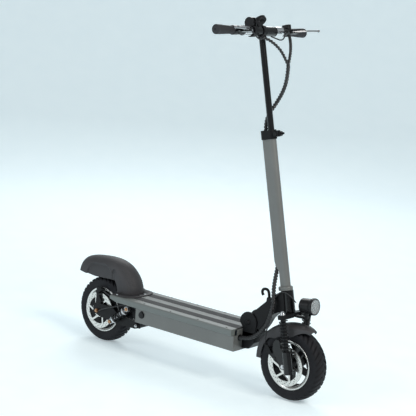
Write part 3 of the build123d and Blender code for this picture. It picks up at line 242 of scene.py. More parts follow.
deck_rubber = ribbed("rolled rubber, fine ribs", "#2E2F31", 0.72, 10.0, 0.5)
deck_coat = ribbed("powder coat on grooved extrusion", "#6B706E", 0.42, 9.0, 0.9, DECK_BAND)

# %% [markdown]
# ## Lamp glass
# The headlight's lens is clear polycarbonate. It needs transmission and its own index of refraction,
# and a fine cell pattern stands for the prisms moulded on its inside.

# %% Lamp lens
lens_glass, tree, shader, at = start("clear polycarbonate")
shader.inputs["Transmission Weight"].default_value = 0.75
shader.inputs["IOR"].default_value = 1.58
shader.inputs["Roughness"].default_value = 0.12
shader.inputs["Base Color"].default_value = linear("#F2F5F6")
prisms = add(tree, "ShaderNodeTexVoronoi", {"Scale": 160.0}, {"Vector": at})
prism_bump = add(tree, "ShaderNodeBump", {"Strength": 0.25, "Distance": 0.0006},
                 {"Height": prisms.outputs["Distance"]})
tree.links.new(prism_bump.outputs["Normal"], shader.inputs["Normal"])

# %% [markdown]
# ## Finishes on the CAD parts
# The CAD nodes keep their shape, so they only take a finish. A table from finish to node names keeps
# the choice in one place.

# %% Give every CAD node its finish
finishes = {
    grey_coat: ["deck_box", "column", "column_collar"],
    deck_coat: ["deck_plate"],
    black_coat: ["neck_arm", "hinge_base", "fork_crown", "swingarm", "rear_bracket", "kickstand",
                 "rear_motor", "front_rim", "hook_lever", "column_clamp", "front_caliper_arm",
                 "rear_caliper_arm"],
    gloss_black: ["head_tube", "fork_lowers", "inner_column", "tee"],
    moulded_abs: ["rear_fender", "front_fender"],
    black_abs: ["box_grommets", "charge_cap", "display", "throttle_body", "throttle_trigger",
                "switch_box", "clamp_knob", "headlight", "display_button", "controller"],
    grip_rubber: ["grip_right", "grip_left"],
    tyre_rubber: ["front_tyre", "rear_tyre", "harness", "rear_cables"],
    zinc_steel: ["front_axle", "fasteners", "headset_bearings", "shock_bodies"],
    disc_steel: ["front_rotor", "rear_rotor"],
    chrome: ["lock_sleeve_right", "lock_sleeve_left", "shock_rods"],
    copper_steel: ["rear_axle"],
    lever_alloy: ["brake_lever_right", "brake_lever_left"],
    black_anodised: ["handlebar_right", "handlebar_left", "front_caliper", "rear_caliper",
                     "fork_springs", "shock_springs"],
    red_plastic: ["horn_button"],
    cell_wrap: ["battery_pack"],
    lens_glass: ["headlight_lens"],
    deck_rubber: ["deck_strips"],
}
for finish, names in finishes.items():
    for name in names:
        if not nodes[name].material_slots:
            nodes[name].data.materials.append(None)
        for slot in nodes[name].material_slots:
            slot.material = finish
print("nodes with a finish:", sum(len(names) for names in finishes.values()), "of", len(nodes))

# %% [markdown]
# ## Mesh helpers
# Three helpers make most pieces: a grid of points turned into a surface, a profile spun round an
# axis, and a tube that follows a smooth NURBS line.

# %% Mesh helpers
def piece_from(name, points, faces, material, smooth=True):
    """A mesh object from points in metres and faces, with outward normals."""
    mesh = bpy.data.meshes.new(name)
    mesh.from_pydata([tuple(p) for p in points], [], faces)
    bm = bmesh.new()
    bm.from_mesh(mesh)
    bmesh.ops.remove_doubles(bm, verts=bm.verts, dist=1e-6)
    bmesh.ops.recalc_face_normals(bm, faces=bm.faces)
    bm.to_mesh(mesh)
    bm.free()
    made = bpy.data.objects.new(name, mesh)
    bpy.context.scene.collection.objects.link(made)
    mesh.materials.append(material)
    if smooth:
        for polygon in mesh.polygons:
            polygon.use_smooth = True
    return made


def grid_piece(name, rows, material, closed_rows=False, closed_columns=False):
    """A surface from rows of points, each row the same length."""
    count, width = len(rows), len(rows[0])
    points = [p for row in rows for p in row]
    faces = []
    for i in range(count if closed_rows else count - 1):
        for j in range(width if closed_columns else width - 1):
            i2, j2 = (i + 1) % count, (j + 1) % width
            faces.append((i * width + j, i * width + j2, i2 * width + j2, i2 * width + j))
    return piece_from(name, points, faces, material)


def lathe(name, profile, centre, axes, material, steps, closed_columns=True):
    """A profile of (radius, along) in millimetres, spun round the last of three axes."""
    first, second, along = axes
    rows = []
    for i in range(steps):
        a = 2 * pi * i / steps
        out = first * cos(a) + second * sin(a)
        rows.append([centre + (out * r + along * t) * MM for r, t in profile])
    return grid_piece(name, rows, material, closed_rows=True, closed_columns=closed_columns)


X_AXIS, Y_AXIS, Z_AXIS = Vector((1, 0, 0)), Vector((0, 1, 0)), Vector((0, 0, 1))


def spun(name, profile, centre, material, steps=96):
    """A closed profile of (radius, y) in millimetres spun round the Y axis through centre."""
    return lathe(name, profile, centre, (X_AXIS, Z_AXIS, Y_AXIS), material, steps)


def smooth_line(points, count):
    """Points along a smooth curve through the given ones (Catmull-Rom)."""
    p = [Vector(q) for q in points]
    p = [2 * p[0] - p[1]] + p + [2 * p[-1] - p[-2]]
    line = []
    for k in range(count):
        t = k / (count - 1) * (len(points) - 1)
        i = min(int(t), len(points) - 2)
        t -= i
        a, b, c, d = p[i:i + 4]
        line.append(0.5 * ((2 * b) + (c - a) * t + (2 * a - 5 * b + 4 * c - d) * t * t
                           + (3 * b - a - 3 * c + d) * t * t * t))
    return line


def ramp(value, low, high):
    """0 below low, 1 above high, smooth between."""
    t = min(max((value - low) / (high - low), 0), 1)
    return t * t * (3 - 2 * t)


def thickened(piece, wall, offset=-1.0):
    """Gives a surface a wall, and makes it a plain mesh."""
    solid = piece.modifiers.new("wall", "SOLIDIFY")
    solid.thickness = wall
    solid.offset = offset
    plain(piece)
    return piece


def plain(piece):
    """Applies a piece's modifiers."""
    depsgraph = bpy.context.evaluated_depsgraph_get()
    mesh = bpy.data.meshes.new_from_object(piece.evaluated_get(depsgraph))
    piece.modifiers.clear()
    piece.data = mesh
    return piece


# %% [markdown]
# ## Tyres
# A road tyre of this size has a rounded crown with slanted grooves that run from the middle to the
# shoulders, and a smooth sidewall with a raised band. The whole tyre is one grid: round the wheel by
# across the section. Where the groove rule says so, a point drops by the groove's depth.

# %% Tyre with slanted grooves
TYRE_R, RIM_R, HALF_W = 127.0, 84.5, 30.5
GROOVES, GROOVE_DEPTH, SLANT = 36, 5.0, 0.50
TREAD_END, WALL_SHARE, CROWN_POWER = 0.66, 0.16, 0.62


def tyre_section(v):
    """Radius and side distance of the outer skin at v, from -1 at one bead to 1 at the other."""
    a = v * pi * (0.5 + WALL_SHARE)
    widest = (TYRE_R + RIM_R) / 2 + 3
    if abs(a) < pi / 2:
        return widest + (TYRE_R - widest) * max(cos(a), 0) ** CROWN_POWER, HALF_W * sin(a)
    down = (abs(a) - pi / 2) / (pi * WALL_SHARE)
    side = HALF_W * (1 - WALL_SHARE * down ** 2)
    return widest - (widest - RIM_R) * down, side if v > 0 else -side


def tread_drop(turn, v):
    """How far the tread is cut away at this place, in millimetres."""
    across = abs(v)
    if across > TREAD_END or across < 0.05:
        return 0.0
    phase = (turn * GROOVES / (2 * pi) + across * SLANT * 4 + (0.5 if v > 0 else 0.0)) % 1.0
    inside = 1 - ramp(abs(phase - 0.5), 0.13, 0.19)
    fade = ramp(across, 0.05, 0.10) * (1 - ramp(across, TREAD_END - 0.06, TREAD_END))
    return GROOVE_DEPTH * inside * fade


def tyre_piece(name, centre, node, body):
    around, across = 720, 60
    rows = []
    for i in range(around):
        turn = 2 * pi * i / around
        row = []
        for j in range(across + 1):
            v = -1 + 2 * j / across
            r, y = tyre_section(v)
            r -= tread_drop(turn, v)
            if 0.70 < abs(v) < 0.76:
                y += 0.7 if v > 0 else -0.7
            row.append(centre + Vector((r * cos(turn), y, r * sin(turn))) * MM)
        inner = RIM_R - 1.0
        for y in (20.0, -20.0):
            row.append(centre + Vector((inner * cos(turn), y, inner * sin(turn))) * MM)
        rows.append(row)
    tyre = grid_piece(name, rows, tyre_rubber, closed_rows=True, closed_columns=True)
    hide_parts(node)
    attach(tyre, body)
    return tyre


front_tyre = tyre_piece("front_tyre_tread", front, "front_tyre", "front_wheel")
rear_tyre = tyre_piece("rear_tyre_tread", rear, "rear_tyre", "rear_wheel")
print("tyre triangles:", 2 * len(front_tyre.data.polygons))

# %% [markdown]
# ## Bright rim lips
# The rims are black, but their lips are turned bare, which shows as a thin bright ring beside the
# tyre. Each lip is a small rounded profile spun round the axle.

# %% Rim lips
def rim_lip(name, centre, side, body):
    y = side * 27.0
    profile = [(74.5, y - side * 5), (84.0, y - side * 4), (87.3, y + side * 0.2), (86.9, y + side * 2.2),
               (84.5, y + side * 2.6), (80.0, y + side * 0.4), (75.5, y - side * 2.0)]
    lip = spun(name, profile, centre, rim_alloy)
    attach(lip, body)


for name, centre, body in (("front", front, "front_wheel"), ("rear", rear, "rear_wheel")):
    for side, word in ((-1, "right"), (1, "left")):
        rim_lip(f"{name}_rim_lip_{word}", centre, side, body)

# %% [markdown]
# ## Coil springs
# The fork and the rear shocks carry visible coils. Geometry Nodes fit them well: a spiral swept by a
# round wire, with the radius, the length and the number of turns as named inputs. Each result is
# moved to its place and made a plain mesh.

# %% A coil spring in Geometry Nodes
def spring_tree():
    tree = bpy.data.node_groups.new("coil spring", "GeometryNodeTree")
    for label, kind in (("Radius", "NodeSocketFloat"), ("Length", "NodeSocketFloat"),
                        ("Turns", "NodeSocketFloat"), ("Wire", "NodeSocketFloat"),
                        ("Finish", "NodeSocketMaterial")):
        tree.interface.new_socket(label, in_out="INPUT", socket_type=kind)
    tree.interface.new_socket("Geometry", in_out="OUTPUT", socket_type="NodeSocketGeometry")
    given = add(tree, "NodeGroupInput").outputs
    spiral = add(tree, "GeometryNodeCurveSpiral", {"Resolution": 28},
                 {"Rotations": given["Turns"], "Start Radius": given["Radius"],
                  "End Radius": given["Radius"], "Height": given["Length"]})
    wire = add(tree, "GeometryNodeCurvePrimitiveCircle", {"Resolution": 10}, {"Radius": given["Wire"]})
    swept = add(tree, "GeometryNodeCurveToMesh", {"Fill Caps": True},
                {"Curve": spiral.outputs["Curve"], "Profile Curve": wire.outputs["Curve"]})
    real = add(tree, "GeometryNodeRealizeInstances", links={"Geometry": swept.outputs["Mesh"]})
    shaded = add(tree, "GeometryNodeSetMaterial", links={"Geometry": real.outputs["Geometry"],
                                                         "Material": given["Finish"]})
    add(tree, "NodeGroupOutput", links={"Geometry": shaded.outputs["Geometry"]})
    return tree


def from_nodes(name, tree, values, places=(), smooth=True):
    """Runs a Geometry Nodes tree with named inputs on some places, and returns a plain mesh object."""
    mesh = bpy.data.meshes.new(name)
    mesh.from_pydata([tuple(p) for p in places], [], [])
    made = bpy.data.objects.new(name, mesh)
    bpy.context.scene.collection.objects.link(made)
    modifier = made.modifiers.new("nodes", "NODES")
    modifier.node_group = tree
    for item in tree.interface.items_tree:
        if item.item_type == "SOCKET" and item.in_out == "INPUT" and item.name in values:
            modifier[item.identifier] = values[item.name]
    plain(made)
    if smooth:
        for polygon in made.data.polygons:
            polygon.use_smooth = True
    return made


coil_tree = spring_tree()


def coil(name, top, bottom, radius, wire, turns, nodes_replaced):
    """A coil from bottom to top."""
    run = top - bottom
    made = from_nodes(name, coil_tree, {"Radius": radius * MM, "Length": run.length, "Turns": turns,
                                        "Wire": wire * MM, "Finish": black_anodised})
    turn = run.to_track_quat("Z", "Y").to_matrix().to_4x4()
    made.data.transform(Matrix.Translation(bottom) @ turn)
    made.data.update()
    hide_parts(*nodes_replaced)
    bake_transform(made)
    return made


LEG_AHEAD, LEG_SIDE = 20.0, 66.0
SHOCK_SIDE, SHOCK_SEAT = 0.072, 0.0215
for side, word in ((-1, "right"), (1, "left")):
    coil(f"fork_coil_{word}", on_column(LEG_AHEAD, side * LEG_SIDE, 294.5),
         on_column(LEG_AHEAD, side * LEG_SIDE, 186.5), 13.6, 2.1, 10.0,
         ["fork_springs"])
shock_low, shock_top = from_rear(92, 0, 107), from_rear(171, 0, 172)
shock_run = (shock_top - shock_low).normalized()
for side, word in ((-1, "right"), (1, "left")):
    across = Y_AXIS * side * SHOCK_SIDE
    coil(f"shock_coil_{word}", shock_top + across - shock_run * SHOCK_SEAT,
         shock_low + across + shock_run * SHOCK_SEAT, 12.9, 2.3, 5.0,
         ["shock_springs"])

# %% [markdown]
# ## Rear mudguard
# The mudguard is one moulding. Its spine runs from a foot on the deck, over the wheel, to the tail.
# Its lower edge follows a second line. At each station, the skin leaves the spine, turns over a round
# shoulder and falls to the edge. The side has a shallow panel under a large arch, and a scoop.

# %% Rear mudguard
SPINE = [(164, 0, 214), (162, 0, 240), (151, 0, 268), (131, 0, 294), (100, 0, 318), (60, 0, 332),
         (14, 0, 336), (-34, 0, 333), (-76, 0, 327), (-106, 0, 317), (-121, 0, 300), (-128, 0, 268)]
EDGE = [(94, 0, 214), (91, 0, 228), (87, 0, 244), (78, 0, 256), (58, 0, 259), (30, 0, 258),
        (4, 0, 257), (-34, 0, 255), (-60, 0, 257), (-80, 0, 259), (-95, 0, 261), (-103, 0, 262)]
GUARD_HALF, SHOULDER_MM = 50.0, 46.0
SHOULDER_SHARE = 0.6            # how much of each station's points the round shoulder takes
PANEL_DEPTH, SCOOP_DEPTH, FLUTE_PITCH, FLUTE_DEPTH, GROOVE_SINK = 7.0, 8.0, 8.0, 1.6, 1.4
GUARD_WALL = 0.003


def side_relief(x, z):
    """How far the side panel under the arch and the scoop in front of it sink in, in millimetres."""
    panel = ((x + 6) ** 2 + (z - 243) ** 2) ** 0.5 / 75.0
    scoop = ((x - 67) / 13) ** 2 + ((z - 272) / 33) ** 2
    sunk_panel = PANEL_DEPTH * (1 - ramp(panel, 0.95, 1.0)) * (1 - ramp(x, 54, 58))
    return sunk_panel + SCOOP_DEPTH * (1 - ramp(scoop, 0.6, 1.05))


def rear_guard():
    stations, half_across = 240, 52
    spine, edge = smooth_line(SPINE, stations), smooth_line(EDGE, stations)
    rows, gone = [], 0.0
    for k in range(stations):
        p, e = spine[k], edge[k]
        gone += (p - spine[max(k - 1, 0)]).length
        fall = max((e - p).length, 1e-6)
        shoulder = min(SHOULDER_MM, fall * 0.8) / fall
        row = []
        for j in range(-half_across, half_across + 1):
            v = abs(j) / half_across
            a = min(v / SHOULDER_SHARE, 1.0) * pi / 2
            below = max(v - SHOULDER_SHARE, 0) / (1 - SHOULDER_SHARE)
            depth = shoulder * (1 - max(cos(a), 0) ** 0.9) + (1 - shoulder) * below
            y = GUARD_HALF * sin(a) ** 0.92
            x, z = p.x + (e.x - p.x) * depth, p.z + (e.z - p.z) * depth
            flute = max(0.0, sin(gone * 2 * pi / FLUTE_PITCH)) * ramp(y, 16, 22) * (1 - ramp(y, 36, 42))
            flute *= ramp(p.x, 88, 96) * (1 - ramp(p.x, 156, 164))
            groove = (1 - ramp(abs(y - 39), 1.2, 3.2)) * ramp(p.x, 96, 120)
            sink = FLUTE_DEPTH * flute + GROOVE_SINK * groove
            x -= sink * 0.7
            z -= sink * 0.7
            y -= side_relief(x, z) * ramp(v, 0.40, 0.50)
            row.append(from_rear(x, y if j > 0 else -y, z))
        rows.append(row)
    guard = grid_piece("rear_mudguard_moulding", rows, moulded_abs)
    return thickened(guard, GUARD_WALL)


guard = rear_guard()
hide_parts("rear_fender")
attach(guard, "frame")


# The foot is a flat flange that spreads on the deck round the mudguard's base.
def flange_piece():
    outline = [(96, 80), (130, 80), (160, 76), (178, 58), (187, 32), (188, 0)]
    line = smooth_line([(x, y, 0) for x, y in outline], 36)
    outer = [(p.x, p.y) for p in line] + [(p.x, -p.y) for p in reversed(line)][1:]
    inner_line = smooth_line([(96, 48, 0), (126, 46, 0), (152, 34, 0), (166, 14, 0), (167, 0, 0)], 36)
    inner = [(p.x, p.y) for p in inner_line] + [(p.x, -p.y) for p in reversed(inner_line)][1:]
    rows = []
    for (xo, yo), (xi, yi) in zip(outer, inner):
        ends = [(xo, yo, 213.2), (xo, yo, 215.6), (xo + (xi - xo) * 0.06, yo + (yi - yo) * 0.06, 216.6),
                (xi, yi, 217.2), (xi, yi, 213.2)]
        rows.append([from_rear(*e) for e in ends])
    made = grid_piece("rear_mudguard_foot", rows, moulded_abs, closed_columns=True)
    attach(made, "frame")


flange_piece()
print("mudguard points:", len(guard.data.vertices))

# %% [markdown]
# ## Front mudguard
# The front mudguard is a curved shell that turns with the fork. Its front lip kicks up, its middle
# has deep sides that reach the fork plates, and its rear flap hangs low behind the tyre.

# %% Front mudguard
def front_guard():
    stations, half_across = 110, 22
    rows = []
    for k in range(stations):
        share = k / (stations - 1)
        a = radians(59 + 122 * share)
        flare = 11 * (1 - ramp(share, 0.0, 0.22))
        half = 38 - 24 * (1 - ramp(share, -0.06, 0.20)) - 4 * ramp(share, 0.75, 1.0)
        side = 15 + 27 * ramp(share, 0.03, 0.26) * (1 - 0.6 * ramp(share, 0.52, 0.66))
        row = []
        for j in range(-half_across, half_across + 1):
            v = abs(j) / half_across
            b = min(v / 0.6, 1.0) * pi / 2
            y = half * sin(b) ** 0.8
            drop = 12 * (1 - max(cos(b), 0) ** 0.8) + (side - 12) * max(v - 0.6, 0) / 0.4
            ridge = 1.2 * (1 - ramp(abs(y), 4, 9))
            r = 142.5 + flare + ridge - drop
            row.append(front + Vector((r * cos(a), y if j > 0 else -y, r * sin(a))) * MM)
        rows.append(row)
    return thickened(grid_piece("front_mudguard_moulding", rows, moulded_abs), 0.0028)


front_shell = front_guard()
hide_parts("front_fender")
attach(front_shell, "fork")

# Two struts hold the shell on the fork plates.
def strut(side):
    start_y, end_y = side * 36, side * 50
    corners = []
    for y in (start_y, end_y):
        for x, z in ((-44, 82), (-26, 82), (-26, 76), (-44, 76)):
            corners.append(front + Vector((x, y, z)) * MM)
    faces = [(0, 1, 2, 3), (4, 5, 6, 7)] + [(i, (i + 1) % 4, 4 + (i + 1) % 4, 4 + i) for i in range(4)]
    made = piece_from("front_mudguard_strut_" + ("left" if side > 0 else "right"), corners, faces,
                      moulded_abs, smooth=False)
    bevel = made.modifiers.new("edge", "BEVEL")
    bevel.width = 0.0008
    plain(made)
    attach(made, "fork")


for side in (-1, 1):
    strut(side)

# %% [markdown]
# ## Grips
# A moulded grip swells under the palm, carries rings of fine ribs and ends in a rounded cap. It is one
# profile spun round the handlebar, whose radius follows a smooth swell and a rib rule.

# %% Grips
BAR_HEIGHT = 1278.0


def grip_piece(side, word, body):
    """A grip from y 162 to y 252, bigger at its outer end."""
    steps, around = 150, 64
    rows = []
    for i in range(around):
        a = 2 * pi * i / around
        row = []
        for k in range(steps + 1):
            t = k / steps
            y = 161.5 + 90 * t
            r = 13.6 + 2.9 * ramp(t, 0.05, 0.95) + 1.4 * (1 - ramp(t, 0.0, 0.05))
            r -= 9.0 * ramp(t, 0.94, 1.0) ** 2
            ribbed_zone = ramp(t, 0.14, 0.18) * (1 - ramp(t, 0.84, 0.88))
            r -= 0.5 * ribbed_zone * (1 if (k % 4) < 1 else 0)
            row.append(on_column(r * cos(a), side * y, BAR_HEIGHT + r * sin(a)))
        for r, y in ((3.2, 251.4), (2.8, 250.6), (2.6, 247.0), (0.0, 247.0)):
            row.append(on_column(r * cos(a), side * y, BAR_HEIGHT + r * sin(a)))
        row.append(on_column(0, side * 161.5, BAR_HEIGHT))
        rows.append(row)
    made = grid_piece(f"grip_{word}_moulding", rows, grip_rubber, closed_rows=True, closed_columns=True)
    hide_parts("grip_" + word)
    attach(made, body)


grip_piece(-1, "right", "bar_right")
grip_piece(1, "left", "bar_left")

# %% [markdown]
# ## Wrapped cables
# All control cables run in one bundle wrapped with a black plastic spiral. Each stretch is a tube that
# follows a NURBS line through the route's points. The wrap is in the tube's own shape: its radius
# rises and falls along a helix with the pitch of the spiral, about 10 mm.

# %% Cable tubes along NURBS lines
WRAP_PITCH, WRAP_DEPTH = 0.0105, 0.0027


def nurbs_points(points, per_run=14):
    """Points along a NURBS line that has the given control points."""
    curve = bpy.data.curves.new("route", "CURVE")
    curve.dimensions = "3D"
    curve.resolution_u = per_run
    spline = curve.splines.new("NURBS")
    spline.points.add(len(points) - 1)
    for point, place in zip(spline.points, points):
        point.co = (*place, 1.0)
    spline.order_u = 3
    spline.use_endpoint_u = True
    holder = bpy.data.objects.new("route", curve)
    bpy.context.scene.collection.objects.link(holder)
    depsgraph = bpy.context.evaluated_depsgraph_get()
    mesh = bpy.data.meshes.new_from_object(holder.evaluated_get(depsgraph))
    line = [v.co.copy() for v in mesh.vertices]
    bpy.data.objects.remove(holder)
    bpy.data.meshes.remove(mesh)
    return line


def resampled(line, step):
    """Points at an even step along a line."""
    lengths = np.cumsum([0.0] + [(b - a).length for a, b in zip(line, line[1:])])
    count = max(int(lengths[-1] / step), 4)
    wanted = np.linspace(0, lengths[-1], count)
    axes = [np.interp(wanted, lengths, [p[i] for p in line]) for i in range(3)]
    return [Vector(p) for p in zip(*axes)], float(lengths[-1])


def cable_piece(name, points, radius, material, wrap_pitch=0.0, wrap=0.0):
    """A tube along a route, with an optional spiral wrap. Returns it, its path and its length."""
    line, length = resampled(nurbs_points(points), 0.0018 if wrap else 0.004)
    side = (line[1] - line[0]).orthogonal().normalized()
    rows, gone = [], 0.0
    around = 20 if wrap else 12
    for i, point in enumerate(line):
        ahead_point, behind = line[min(i + 1, len(line) - 1)], line[max(i - 1, 0)]
        along = (ahead_point - behind).normalized()
        side = (side - along * side.dot(along)).normalized()
        other = along.cross(side)
        gone += (point - line[max(i - 1, 0)]).length
        row = []
        for j in range(around):
            a = 2 * pi * j / around
            r = radius
            if wrap:
                phase = (gone / wrap_pitch - j / around) % 1.0
                r -= wrap * (1 - ramp(abs(phase - 0.5), 0.10, 0.24))
            row.append(point + side * (r * cos(a)) + other * (r * sin(a)))
        rows.append(row)
    rows = [[line[0]] * around] + rows + [[line[-1]] * around]
    made = grid_piece(name, rows, material, closed_columns=True)
    return made, line, length


wrap_plastic = grained("polyethylene spiral wrap, black", "#1B1B1D", "#222224", 0.32, 1.0, 0.08)
cable_jacket = grained("PVC cable jacket, black", "#1C1C1E", "#232326", 0.46, 0.8, 0.10)

# %% [markdown]
# ## Routes of the harness
# Two branches leave the handlebar, one from each side, and join ahead of the column. The trunk bows
# forward, swings back into the clamp and runs down inside the column's channel. It comes out of the
# slanted mouth at the bottom and drops beside the fold hinge to the battery box.

# %% The harness
CHANNEL = -25.0
join = on_column(76, 30, 1150)
right_branch = [on_column(14, -27, 1256), on_column(28, -8, 1248), on_column(46, 10, 1226),
                on_column(64, 24, 1194), join]
left_branch = [on_column(30, 118, 1262), on_column(48, 96, 1244), on_column(66, 70, 1218),
               on_column(78, 46, 1186), join]
trunk = [join, on_column(64, 34, 1108), on_column(40, 36, 1066), on_column(6, 34, 1028),
         on_column(-20, 16, 992), on_column(CHANNEL, 1, 950), on_column(CHANNEL, 0, 900)]
channel = [on_column(CHANNEL, 0, 900), on_column(CHANNEL, 0.5, 700), on_column(CHANNEL, 0, 505)]
lower_column = [on_column(CHANNEL, 0, 505), on_column(-27, -1, 474), on_column(-33, -15, 434),
                on_column(-35, -31, 392), on_column(-31, -43.5, 345)]
lower = lower_column[-1:] + [from_rear(812, -46, 268), from_rear(790, -46.5, 232),
                             from_rear(762, -46.5, 204), from_rear(730, -46, 185),
                             from_rear(690, -46, 180)]


def harness_part(name, points, radius, bodies):
    """One stretch of the wrapped harness."""
    made, line, length = cable_piece(name, points, radius * MM, wrap_plastic, WRAP_PITCH, WRAP_DEPTH)
    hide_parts("harness")
    if bodies:
        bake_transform(made)
    else:
        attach(made, "steering")
    print(name, "length", round(length, 3))


for name, points, radius in (("harness_branch_right", right_branch, 5.5),
                             ("harness_branch_left", left_branch, 5.5), ("harness_trunk", trunk, 7.3)):
    harness_part(name, points, radius, ("steering", "stem"))
harness_part("harness_channel", channel, 7.0, None)
harness_part("harness_drop", lower_column, 7.9, ("neck", "steering"))
harness_part("harness_loop", lower, 7.9, ("frame", "neck"))

# %% [markdown]
# ## Thin cables
# The brake cables, the motor's cable and the lamp's wire are plain round jackets. Short loops also
# join the brake levers to the harness below the handlebar.

# %% Brake, motor and lamp cables
def thin_cable(name, points, radius, body, bodies=None, replaces=None):
    """A plain round cable, which rides on one body when no pair of bodies is given."""
    made, line, length = cable_piece(name, points, radius * MM, cable_jacket)
    if replaces:
        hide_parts(replaces)
    if bodies:
        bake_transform(made)
    else:
        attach(made, body)


thin_cable("front_brake_cable",
           [on_column(-33, -47.5, 345), on_column(-34, -54, 318), on_column(-48, -60, 280),
            on_column(-62, -64, 246), on_column(-66, -64.5, 224)], 2.5, None,
           ("fork", "steering"), "harness")
thin_cable("headlight_wire",
           [on_column(-33, -36, 362), on_column(-12, -36, 382), on_column(12, -33, 386),
            on_column(30, -24, 370), on_column(40, -10, 344)], 1.8, "steering")
thin_cable("rear_brake_cable",
           [from_rear(222, -61, 173), from_rear(196, -59, 183), from_rear(168, -58, 190),
            from_rear(110, -60, 192), from_rear(66, -63, 199), from_rear(36, -64, 212)], 2.5, None,
           ("swing", "frame"), "rear_cables")
thin_cable("motor_cable",
           [from_rear(222, -56.5, 169), from_rear(196, -55, 178), from_rear(168, -56, 184),
            from_rear(134, -60, 177), from_rear(80, -64, 158), from_rear(32, -63, 141),
            from_rear(11, -61.5, 128)], 3.0, None,
           ("swing", "frame"), "rear_cables")
for side, word in ((-1, "right"), (1, "left")):
    ends = [on_column(32, side * 102, 1273.5), on_column(33, side * 92, 1268),
            on_column(36, side * 76, 1248), on_column(36, side * 56, 1242),
            on_column(30, side * 36, 1250), on_column(18, side * 26, 1258)]
    thin_cable(f"lever_cable_{word}", ends, 2.3, "stem")

# %% [markdown]
# ## Headlight
# A black bezel holds the lens in the can, and rings of small prisms stand on the lens. They are
# profiles spun round the lamp's own axis. A ribbed boot closes the stem below.

# %% Bezel, prisms and boot
LAMP_TILT = radians(6)
lens_low, lens_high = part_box("headlight_lens")
lamp_axis = Vector((cos(LAMP_TILT), 0, sin(LAMP_TILT)))
lamp_over = Vector((-lamp_axis.z, 0, lamp_axis.x))
lamp_face = (lens_low + lens_high) / 2


def lamp_ring(name, profile, material):
    """A profile of (radius, along the lamp's axis) in millimetres, spun round that axis."""
    made = lathe(name, profile, lamp_face, (Y_AXIS, lamp_over, lamp_axis), material, 72)
    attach(made, "lamp")


bezel = [(25.6, 1.5), (25.8, 4.6), (27.2, 5.4), (28.9, 4.4), (29.5, 2.0), (29.5, -5.5), (29.0, -6.0),
         (28.8, 1.2), (26.2, 2.6)]
lamp_ring("headlight_bezel", bezel, black_abs)
for ring, reach in enumerate((25.0, 19.0, 12.0, 5.5)):
    prism = [(reach - 1.4, 2.3), (reach, 4.0), (reach + 0.5, 4.0), (reach + 0.6, 2.3)]
    lamp_ring(f"headlight_prism_{ring + 1}", prism, lens_glass)


# Under the lamp a ribbed rubber boot covers the bolt and the wire's joint.
BOOT_STEPS, BOOT_STEP, RIB_STEPS = 29, 0.8, 6
boot_profile = [(0.0, 0.0)]
for step in range(BOOT_STEPS):
    rib = 1.9 if step % RIB_STEPS < RIB_STEPS / 2 else -1.9
    boot_profile.append((8.2 + rib - step * 0.05, -step * BOOT_STEP))
boot_profile.append((0.0, -(BOOT_STEPS - 1) * BOOT_STEP))
boot = lathe("headlight_boot", boot_profile, Vector((front.x + 0.044, 0, 0.296)),
             (X_AXIS, Y_AXIS, Z_AXIS), black_abs, 48, closed_columns=False)
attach(boot, "steering")
print("boot points:", len(boot.data.vertices))

# %% [markdown]
# ## Display glass
# The display's dark window is a thin disc, spun round the line that the display faces along.

# %% Display glass
DISPLAY_TURN = radians(44.66)
face_normal = Vector((-sin(DISPLAY_TURN), 0, cos(DISPLAY_TURN)))
face_ahead = Vector((cos(DISPLAY_TURN), 0, sin(DISPLAY_TURN)))
face_centre = on_column(-6, 0, BAR_HEIGHT + 34) + face_normal * 0.0055
screen_glass = grained("smoked acrylic window", "#0B0C0E", "#0E1012", 0.08, 2.0, 0.01, 0.0, 0.4)
window = [(0.0, 0.4), (21.5, 0.3), (23.2, -0.3), (0.0, -0.4)]
glass = lathe("display_window", window, face_centre, (face_ahead, Y_AXIS, face_normal), screen_glass, 64,
              closed_columns=False)
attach(glass, "stem")

# %% [markdown]
# ## Screws
# Small screws repeat on the motor's covers, the brake discs, the deck and the mudguard's foot, so
# Geometry Nodes place one socket-head screw on every point of a list.

